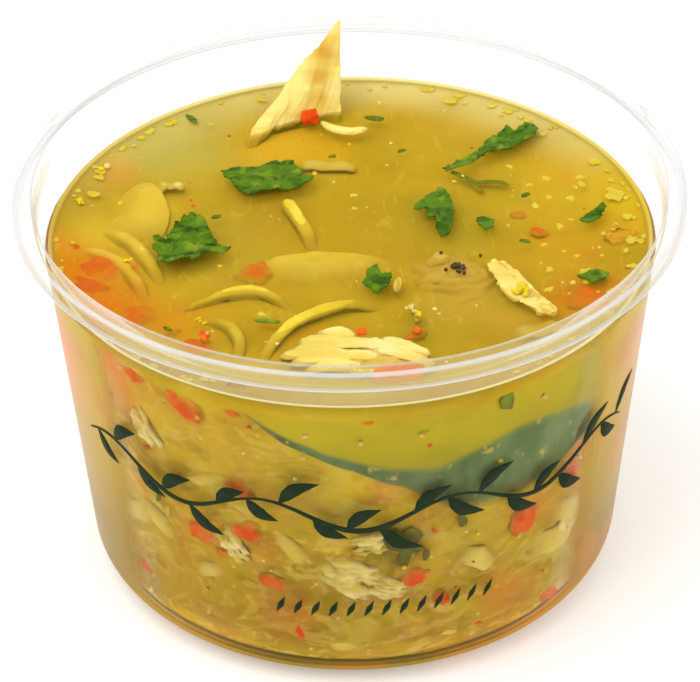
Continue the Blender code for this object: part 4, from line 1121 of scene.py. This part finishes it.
def makeParsley():
    fresh = parsleyMaterial("parsleyLeaf")
    for index, (name, wave) in enumerate(parsley["surface"].items()):
        bm = nodeCopy(name)
        finer(bm, 0.5)
        for v in bm.verts:
            spot = v.co / mm
            lift = noise.noise(Vector((spot.x * 0.9, spot.y * 0.9, index * 3.3)))
            v.co.z += (wave * lift * 1.8 - 0.2) * mm
            v.co.x += 0.34 * mm * noise.noise(spot * 1.9)
            v.co.y += 0.34 * mm * noise.noise(spot * 1.9 + Vector((9, 0, 0)))
        showPiece(inWords(name), bm, fresh, "parsley", [name])
    bits = bmesh.new()
    draw = random.Random(parsley["seed"])
    spots = [(Vector((x, y, parsley["fleckHeight"])), reach, slim, None)
             for x, y, reach, slim in parsley["onTop"]]
    sides = list(parsley["wall"])
    for k in range(parsley["atBack"]):
        sides.append((66 + k * 5.1 + draw.uniform(-4, 4), draw.uniform(6, 60), draw.uniform(0.9, 3.4)))
    for azimuth, height, reach in sides:
        spots.append((wallSpot(azimuth, height, 0.6), reach, reach * 0.55, azimuth))
    for centre, reach, slim, azimuth in spots:
        bit = bmesh.new()
        bmesh.ops.create_circle(bit, segments=9, radius=1.0, cap_ends=True)
        for v in bit.verts:
            v.co *= draw.uniform(0.7, 1.15)
        bmesh.ops.scale(bit, vec=(reach, slim, 1), verts=bit.verts)
        bmesh.ops.rotate(bit, matrix=Matrix.Rotation(draw.uniform(0, 3.1), 3, "Z"), verts=bit.verts)
        bmesh.ops.solidify(bit, geom=bit.faces[:], thickness=0.3)
        if azimuth is not None:
            tip = Matrix.Rotation(math.radians(azimuth), 3, "Z") @ Matrix.Rotation(math.radians(90), 3, "X")
            bmesh.ops.rotate(bit, matrix=tip, verts=bit.verts)
        bmesh.ops.translate(bit, vec=centre, verts=bit.verts)
        bmesh.ops.scale(bit, vec=(mm, mm, mm), verts=bit.verts)
        join(bits, bit)
    # a torn leaf against the wall: millimetres to the right of and above its middle
    leaf = bmesh.new()
    leaf.faces.new([leaf.verts.new((x, y, 0)) for x, y in parsley["sunkLeaf"]])
    bmesh.ops.triangulate(leaf, faces=leaf.faces)
    finer(leaf, 900)
    bmesh.ops.solidify(leaf, geom=leaf.faces[:], thickness=0.3)
    for v in leaf.verts:
        lift = 0.5 * noise.noise(v.co * 0.5)
        v.co = wallSpot(parsley["leafAzimuth"] + v.co.x * 1.14, parsley["leafHeight"] + v.co.y,
                        0.75 + lift + v.co.z) * mm
    join(bits, leaf)
    for points, width in parsley["sunkStems"]:
        join(bits, ribbon(points, width, 0.4, [10], 16, 6, 0.3))
    showPiece("herbFlecks", bits, parsleyMaterial("choppedHerb", 1.2, 0.05), "parsley")
    print("parsley made")


makeParsley()


# A slice of green squash leans on the front wall under the surface, its cut face up and its rind below

squash = {
    "flesh": paint(192, 172, 40), "ring": paint(152, 146, 40), "rindLight": paint(118, 142, 98),
    "rindDark": paint(74, 102, 62), "thick": 4.0,
    # azimuth and height of the rind's lower edge and of the edge between rind and cut face
    "low": [(-26, 61.0), (-21, 58.2), (-12, 53.0), (-1, 48.5), (9, 44.1), (19, 37.9), (27, 35.5),
            (37, 35.2), (46, 36.5), (53, 39.2), (59, 40.6), (64, 42.0)],
    "rim": [(-26, 61.6), (-21, 59.3), (-10, 54.6), (-4, 52.1), (7, 48.8), (16, 47.5), (24, 49.7),
            (33, 51.8), (40, 51.4), (47, 49.9), (55, 47.8), (64, 46.4)],
}


def lineHeight(points, azimuth):
    # the height of a line through points at an azimuth
    for (a, low), (b, high) in zip(points, points[1:]):
        if azimuth <= b:
            share = max(0.0, (azimuth - a) / (b - a))
            return low + (high - low) * (share * share * (3 - 2 * share) * 0.3 + share * 0.7)
    return points[-1][1]


def makeSquash():
    bm = bmesh.new()
    bmesh.ops.create_grid(bm, x_segments=84, y_segments=28, size=1.0)
    faceShare = bm.verts.layers.float.new("cutFace")
    fogShare = bm.verts.layers.float.new("lost")
    first, last = squash["rim"][0][0], squash["rim"][-1][0]
    for v in bm.verts:
        across, up = (v.co.x + 1) / 2, (v.co.y + 1) / 2
        azimuth = first + (last - first) * across
        low, rim = lineHeight(squash["low"], azimuth), lineHeight(squash["rim"], azimuth)
        ends = max(1 - ease(0.0, 0.14, across), ease(0.9, 1.0, across))
        if up < 0.5:
            height = low + (rim - low) * up * 2
            depth = 0.45 + 0.9 * (1 - up * 2) ** 2
            lost = (1 - ease(0.0, 0.1, up)) * 0.9
        else:
            height = rim + (62.2 - rim) * (up - 0.5) * 2
            depth = 0.45 + 0.75 * ((up - 0.5) * 2) ** 0.6
            lost = ease(0.75, 1.0, up) * 0.5
        v[faceShare] = ease(0.48, 0.54, up)
        v[fogShare] = min(1.0, max(lost, ends))
        v.co = wallSpot(azimuth, height, depth + 0.9 * ends) * mm
    bmesh.ops.recalc_face_normals(bm, faces=bm.faces)
    bmesh.ops.solidify(bm, geom=bm.faces[:], thickness=-squash["thick"] * mm)
    bench = Bench("squashSlice")
    x, _, z = bench.axes()
    cutFace = bench.node("ShaderNodeAttribute", {"attribute_name": "cutFace"}).other("Fac")
    lost = bench.node("ShaderNodeAttribute", {"attribute_name": "lost"}).other("Fac")
    flesh = bench.tint(bench.ramp(z, 57.0, 48.0) * 0.6, squash["flesh"], squash["ring"])
    flesh = bench.tint(bench.ramp(bench.cloud(90, 3, warp=0.6), 0.4, 0.66) * 0.4, flesh, squash["ring"])
    streaks = bench.ramp(bench.cloud(130, 4, 0.6, stretch=(1, 1, 0.6)), 0.4, 0.64)
    rind = bench.tint(streaks * 0.5 + bench.ramp(x, 16.0, 40.0) * 0.45, squash["rindDark"],
                      squash["rindLight"])
    specks = bench.ramp(bench.cloud(520, 3), 0.62, 0.7) * 0.6
    rind = bench.tint(specks, rind, soup["sidePale"])
    colour = bench.tint(cutFace, rind, flesh)
    shown = bench.tint(lost, colour, murk(bench))
    material = wetMaterial(bench, shown, bench.bump(bench.cloud(200, 2), 0.1, 0.5), 3.2, 0.0, 0.5, 0.0)
    showPiece("squashSlice", bm, material, "parsley", smoothBelow=50)
    print("squash made")


makeSquash()


# Oil

oil = {
    "colour": paint(246, 218, 10), "pale": paint(252, 234, 60), "veil": 0.62,
    # the larger ones: place and reach
    "smears": [(46.8, 12.0, 1.5), (44.0, 23.0, 1.1), (48.6, 5.0, 0.9), (-45.4, 15.0, 1.1),
               (-44.6, 20.4, 0.8), (41.0, 18.0, 0.8), (48.8, -2.6, 0.9)],
}


def makeOil():
    bench = Bench("oilDrops")
    colour = bench.tint(bench.ramp(bench.cloud(300, 2), 0.4, 0.7), oil["colour"], oil["pale"])
    material = bench.done(bench.seeThrough(oil["veil"], bench.skin(Base_Color=colour, Roughness=0.08)))
    draw = random.Random(14)
    drops = bmesh.new()
    level, edge = soup["level"], soupWall(soup["level"])
    spots = []
    for k in range(84):
        # most of them gather where the soup meets the wall, fewest at the front
        angle = draw.uniform(-0.35, 1.35) * math.pi
        far = edge - 0.9 - abs(draw.gauss(0, 1.6))
        spots.append((far * math.cos(angle), far * math.sin(angle), draw.uniform(0.3, 0.95)))
    for k in range(26):
        angle = draw.uniform(-0.5, 0.5)
        far = edge * draw.uniform(0.62, 0.97)
        spots.append((far * math.cos(angle), far * math.sin(angle), draw.uniform(0.25, 0.8)))
    for k in range(22):
        angle, far = draw.uniform(0, 2 * math.pi), edge * math.sqrt(draw.uniform(0.02, 0.9))
        spots.append((far * math.cos(angle), far * math.sin(angle), draw.uniform(0.2, 0.6)))
    spots += oil["smears"]
    for x, y, reach in spots:
        away = math.hypot(x, y)
        rise = max(0.0, (away - (edge - 2.2)) / 2.2) ** 2 * 0.55
        drop = bmesh.new()
        bmesh.ops.create_icosphere(drop, subdivisions=2, radius=1.0)
        for v in drop.verts:
            v.co *= 1 + 0.7 * noise.noise(Vector((v.co.x, v.co.y, x)) * 1.5)
        bmesh.ops.scale(drop, vec=(reach * mm * draw.uniform(0.8, 1.5), reach * mm, 0.14 * mm),
                        verts=drop.verts)
        bmesh.ops.rotate(drop, matrix=Matrix.Rotation(math.atan2(y, x) + math.pi / 2, 3, "Z"),
                         verts=drop.verts)
        bmesh.ops.translate(drop, vec=Vector((x, y, level + rise)) * mm, verts=drop.verts)
        join(drops, drop)
    showPiece("oilDrops", drops, material, "soup")
    print("oil made")


makeOil()


# Crumbs of meat, noodle and carrot on the soup and against the wall

crumbs = {
    "tones": {"cream": (paint(246, 226, 140), paint(226, 196, 96)),
              "yellow": (paint(246, 216, 24), paint(226, 190, 20)),
              "orange": (paint(240, 116, 20), paint(222, 76, 8))},
    # the larger ones, in clusters: tone, place, size
    "clusters": [("yellow", (29.2, -18.2, 64.3), 0.7), ("yellow", (30.2, -19.1, 64.3), 0.6),
                 ("yellow", (28.3, -19.4, 64.2), 0.6), ("yellow", (29.6, -20.2, 64.1), 0.5),
                 ("orange", (-24.8, -31.0, 63.6), 0.9), ("cream", (-24.4, -30.4, 63.7), 0.7),
                 ("yellow", (-25.7, -25.8, 63.4), 0.7), ("yellow", (-24.9, -26.6, 63.4), 0.5),
                 ("cream", (14.2, -23.6, 63.4), 0.35), ("cream", (14.9, -24.8, 63.4), 0.3),
                 ("cream", (9.8, -22.6, 63.4), 0.6), ("cream", (10.6, -23.8, 63.4), 0.5),
                 ("yellow", (11.2, -25.0, 63.4), 0.6), ("orange", (11.0, -29.4, 63.3), 0.8),
                 ("orange", (9.8, -31.6, 63.3), 0.6), ("cream", (-12.6, -33.2, 63.4), 0.3),
                 ("cream", (-14.4, -32.6, 63.4), 0.3), ("yellow", (-47.6, 12.4, 63.3), 0.8),
                 ("cream", (-43.5, 24.6, 63.3), 1.0), ("yellow", (-44.6, 23.4, 63.3), 0.7),
                 ("orange", (-27.5, 10.8, 63.2), 0.4), ("yellow", (-38.5, -6.6, 63.3), 0.7),
                 ("orange", (-37.4, -8.4, 63.3), 0.5), ("cream", (27.6, 2.6, 63.3), 0.3)],
    "onTop": 46, "onWall": 190, "seed": 77,
}


def makeCrumbs():
    draw = random.Random(crumbs["seed"])
    spots = {tone: [] for tone in crumbs["tones"]}
    for tone, centre, size in crumbs["clusters"]:
        for k in range(4):
            nudge = Vector((draw.uniform(-1, 1), draw.uniform(-1, 1), draw.uniform(-0.3, 0.3))) * size * 0.7
            spots[tone].append((Vector(centre) + nudge, size * draw.uniform(0.45, 0.85)))
    names = ["cream", "cream", "yellow", "orange"]
    for k in range(crumbs["onTop"]):
        angle, far = draw.uniform(0, 2 * math.pi), 50 * math.sqrt(draw.uniform(0.0, 1.0))
        spots[draw.choice(names)].append((Vector((far * math.cos(angle), far * math.sin(angle), 63.2)),
                                          draw.uniform(0.15, 0.35)))
    for k in range(crumbs["onWall"]):
        azimuth = draw.uniform(-85, 85) if k % 2 else draw.uniform(85, 275)
        spots[draw.choice(names)].append((wallSpot(azimuth, draw.uniform(7, 61), draw.uniform(0.3, 0.9)),
                                          draw.uniform(0.15, 0.6)))
    for tone, (colour, deep) in crumbs["tones"].items():
        bm = bmesh.new()
        for centre, size in spots[tone]:
            lump = bmesh.new()
            bmesh.ops.create_icosphere(lump, subdivisions=1, radius=1.0)
            for v in lump.verts:
                v.co *= 1 + 0.6 * noise.noise(v.co * 1.7 + centre)
            bmesh.ops.scale(lump, vec=(size * mm * draw.uniform(0.7, 1.6), size * mm, size * mm * 0.8),
                            verts=lump.verts)
            bmesh.ops.rotate(lump, matrix=Matrix.Rotation(draw.uniform(0, 3.1), 3, "Z"), verts=lump.verts)
            bmesh.ops.translate(lump, vec=centre * mm, verts=lump.verts)
            join(bm, lump)
        bench = Bench(tone + "Crumb")
        mixed = bench.tint(bench.ramp(bench.cloud(600, 2), 0.35, 0.65), deep, colour)
        material = wetMaterial(bench, mixed, bench.bump(bench.cloud(900, 2), 0.2, 0.3), 0.8, 0.1)
        showPiece(tone + "Crumbs", bm, material, "carrot" if tone == "orange" else "chicken")
    print("crumbs made")


makeCrumbs()


# A plain printed sprig runs round the front of the wall

sprig = {
    "ink": paint(30, 44, 26), "worn": paint(58, 72, 44), "line": 1.25, "height": 39.4, "wave": 2.8,
    "from": -64, "to": 66, "proud": 0.05,
    "leaf": 8.0, "leafWidth": 2.7, "leaves": 20,
    "marks": 13, "marksMiddle": 5.6, "marksApart": 3.2,
}


def stroke(target, points, widths, steps):
    # a printed stroke; points are (millimetres round the wall, height), and widths run along it
    path = curveThrough([(s, z, 0) for s, z in points], steps)
    bm = bmesh.new()
    pairs = []
    for k, spot in enumerate(path):
        along = (path[min(k + 1, steps - 1)] - path[max(k - 1, 0)]).normalized()
        side = Vector((-along.y, along.x, 0))
        at = k / (steps - 1) * (len(widths) - 1)
        low = min(int(at), len(widths) - 2)
        half = (widths[low] + (widths[low + 1] - widths[low]) * (at - low)) / 2
        pair = []
        for sign in (-1, 1):
            flat = spot + side * half * sign
            angle = flat.x / tubWall(sprig["height"])
            radius = tubWall(flat.y) + sprig["proud"]
            pair.append(bm.verts.new((radius * math.sin(angle) * mm, -radius * math.cos(angle) * mm,
                                      flat.y * mm)))
        pairs.append(pair)
    for (a, b), (c, d) in zip(pairs, pairs[1:]):
        bm.faces.new((a, c, d, b))
    join(target, bm)


def makeSprig():
    bench = Bench("greenInk")
    worn = bench.ramp(bench.cloud(500, 3), 0.3, 0.8)
    material = bench.done(bench.skin(Base_Color=bench.tint(worn * 0.25, sprig["ink"], sprig["worn"]),
                                     Roughness=0.6, Specular_IOR_Level=0.05))
    target = bmesh.new()
    start = math.radians(sprig["from"]) * tubWall(sprig["height"])
    end = math.radians(sprig["to"]) * tubWall(sprig["height"])
    draw = random.Random(3)

    def stem(t):
        return (start + (end - start) * t,
                sprig["height"] + sprig["wave"] * math.sin(t * 2 * math.pi * 3.5))

    stemWidths = [0.25, sprig["line"], 0.5, sprig["line"], 0.5, sprig["line"], 0.2]
    stroke(target, [stem(k / 40) for k in range(41)], stemWidths, 240)
    leafWidths = [0.25, sprig["leafWidth"] * 0.8, sprig["leafWidth"], sprig["leafWidth"] * 0.6, 0.05]
    for k in range(sprig["leaves"]):
        t = (k + 0.6) / sprig["leaves"]
        s, z = stem(t)
        up = 1 if k % 2 else -1
        reach = sprig["leaf"] * draw.uniform(0.8, 1.1)
        points = [(s, z), (s + reach * 0.35, z + up * reach * 0.42),
                  (s + reach * 0.85, z + up * reach * 0.62)]
        stroke(target, points, leafWidths, 18)
    # a row of small slanted marks below it
    for k in range(sprig["marks"]):
        s = sprig["marksMiddle"] + (k - (sprig["marks"] - 1) / 2) * sprig["marksApart"]
        stroke(target, [(s - 0.9, 16.8), (s, 18.6), (s + 0.7, 20.2)], [0.2, 1.25, 0.1], 8)
    piece = showPiece("printedSprig", target, material, "parsley")
    piece.visible_shadow = False     # the cloudy soup behind it swallows the shadow
    thick = piece.modifiers.new("ink", "SOLIDIFY")
    thick.thickness = 0.05 * mm
    thick.offset = 1.0
    print("sprig made")


makeSprig()


# Stage

studio = {
    "distance": 0.8, "elevation": 34.29, "lens": 232.18, "roll": -0.91, "aim": (-0.000335, 0.0, 0.0411),
    "sky": 0.82, "floor": paint(250, 250, 250), "key": 5.0, "fill": 1.6,
}


def makeStudio():
    floorMesh = bmesh.new()
    bmesh.ops.create_grid(floorMesh, x_segments=2, y_segments=2, size=3.0)
    bmesh.ops.translate(floorMesh, vec=(0, 0, -0.00003), verts=floorMesh.verts)
    mesh = bpy.data.meshes.new("studioFloor")
    floorMesh.to_mesh(mesh)
    floorMesh.free()
    bench = Bench("paleFloor")
    shade = bench.tint(bench.ramp(bench.cloud(3, 2), 0.2, 0.8) * 0.1, studio["floor"], paint(244, 244, 244))
    mesh.materials.append(bench.done(bench.skin(Base_Color=shade, Roughness=0.9, Specular_IOR_Level=0.0,
                                                Emission_Color=(1, 1, 1, 1), Emission_Strength=0.22)))
    floor = bpy.data.objects.new("studioFloor", mesh)
    bpy.context.scene.collection.objects.link(floor)

    world = bpy.data.worlds.new("softWhite")
    world.use_nodes = True
    world.node_tree.nodes["Background"].inputs[0].default_value = (1, 1, 1, 1)
    world.node_tree.nodes["Background"].inputs[1].default_value = studio["sky"]
    bpy.context.scene.world = world

    lamps = [("keyLight", (-0.45, -0.3, 0.95), 0.9, studio["key"]),
             ("fillLight", (0.8, -0.5, 0.6), 0.7, studio["fill"])]
    for name, spot, size, power in lamps:
        light = bpy.data.lights.new(name, "AREA")
        light.size = size
        light.energy = power
        lamp = bpy.data.objects.new(name, light)
        lamp.location = spot
        lamp.rotation_euler = (Vector((0, 0, 0.05)) - Vector(spot)).to_track_quat("-Z", "Y").to_euler()
        bpy.context.scene.collection.objects.link(lamp)

    camera = bpy.data.cameras.new("photoCamera")
    camera.lens = studio["lens"]
    camera.sensor_width = 36
    camera.clip_start = 0.01
    viewer = bpy.data.objects.new("photoCamera", camera)
    rise = math.radians(studio["elevation"])
    aim = Vector(studio["aim"])
    viewer.location = aim + Vector((0, -math.cos(rise), math.sin(rise))) * studio["distance"]
    look = (aim - viewer.location).to_track_quat("-Z", "Y").to_matrix().to_4x4()
    viewer.rotation_euler = (look @ Matrix.Rotation(math.radians(studio["roll"]), 4, "Z")).to_euler()
    bpy.context.scene.collection.objects.link(viewer)
    bpy.context.scene.camera = viewer

    scene = bpy.context.scene
    scene.view_settings.view_transform = "Standard"
    scene.cycles.transparent_max_bounces = 24
    scene.cycles.max_bounces = 8
    scene.cycles.diffuse_bounces = 2
    print("studio made")


makeStudio()
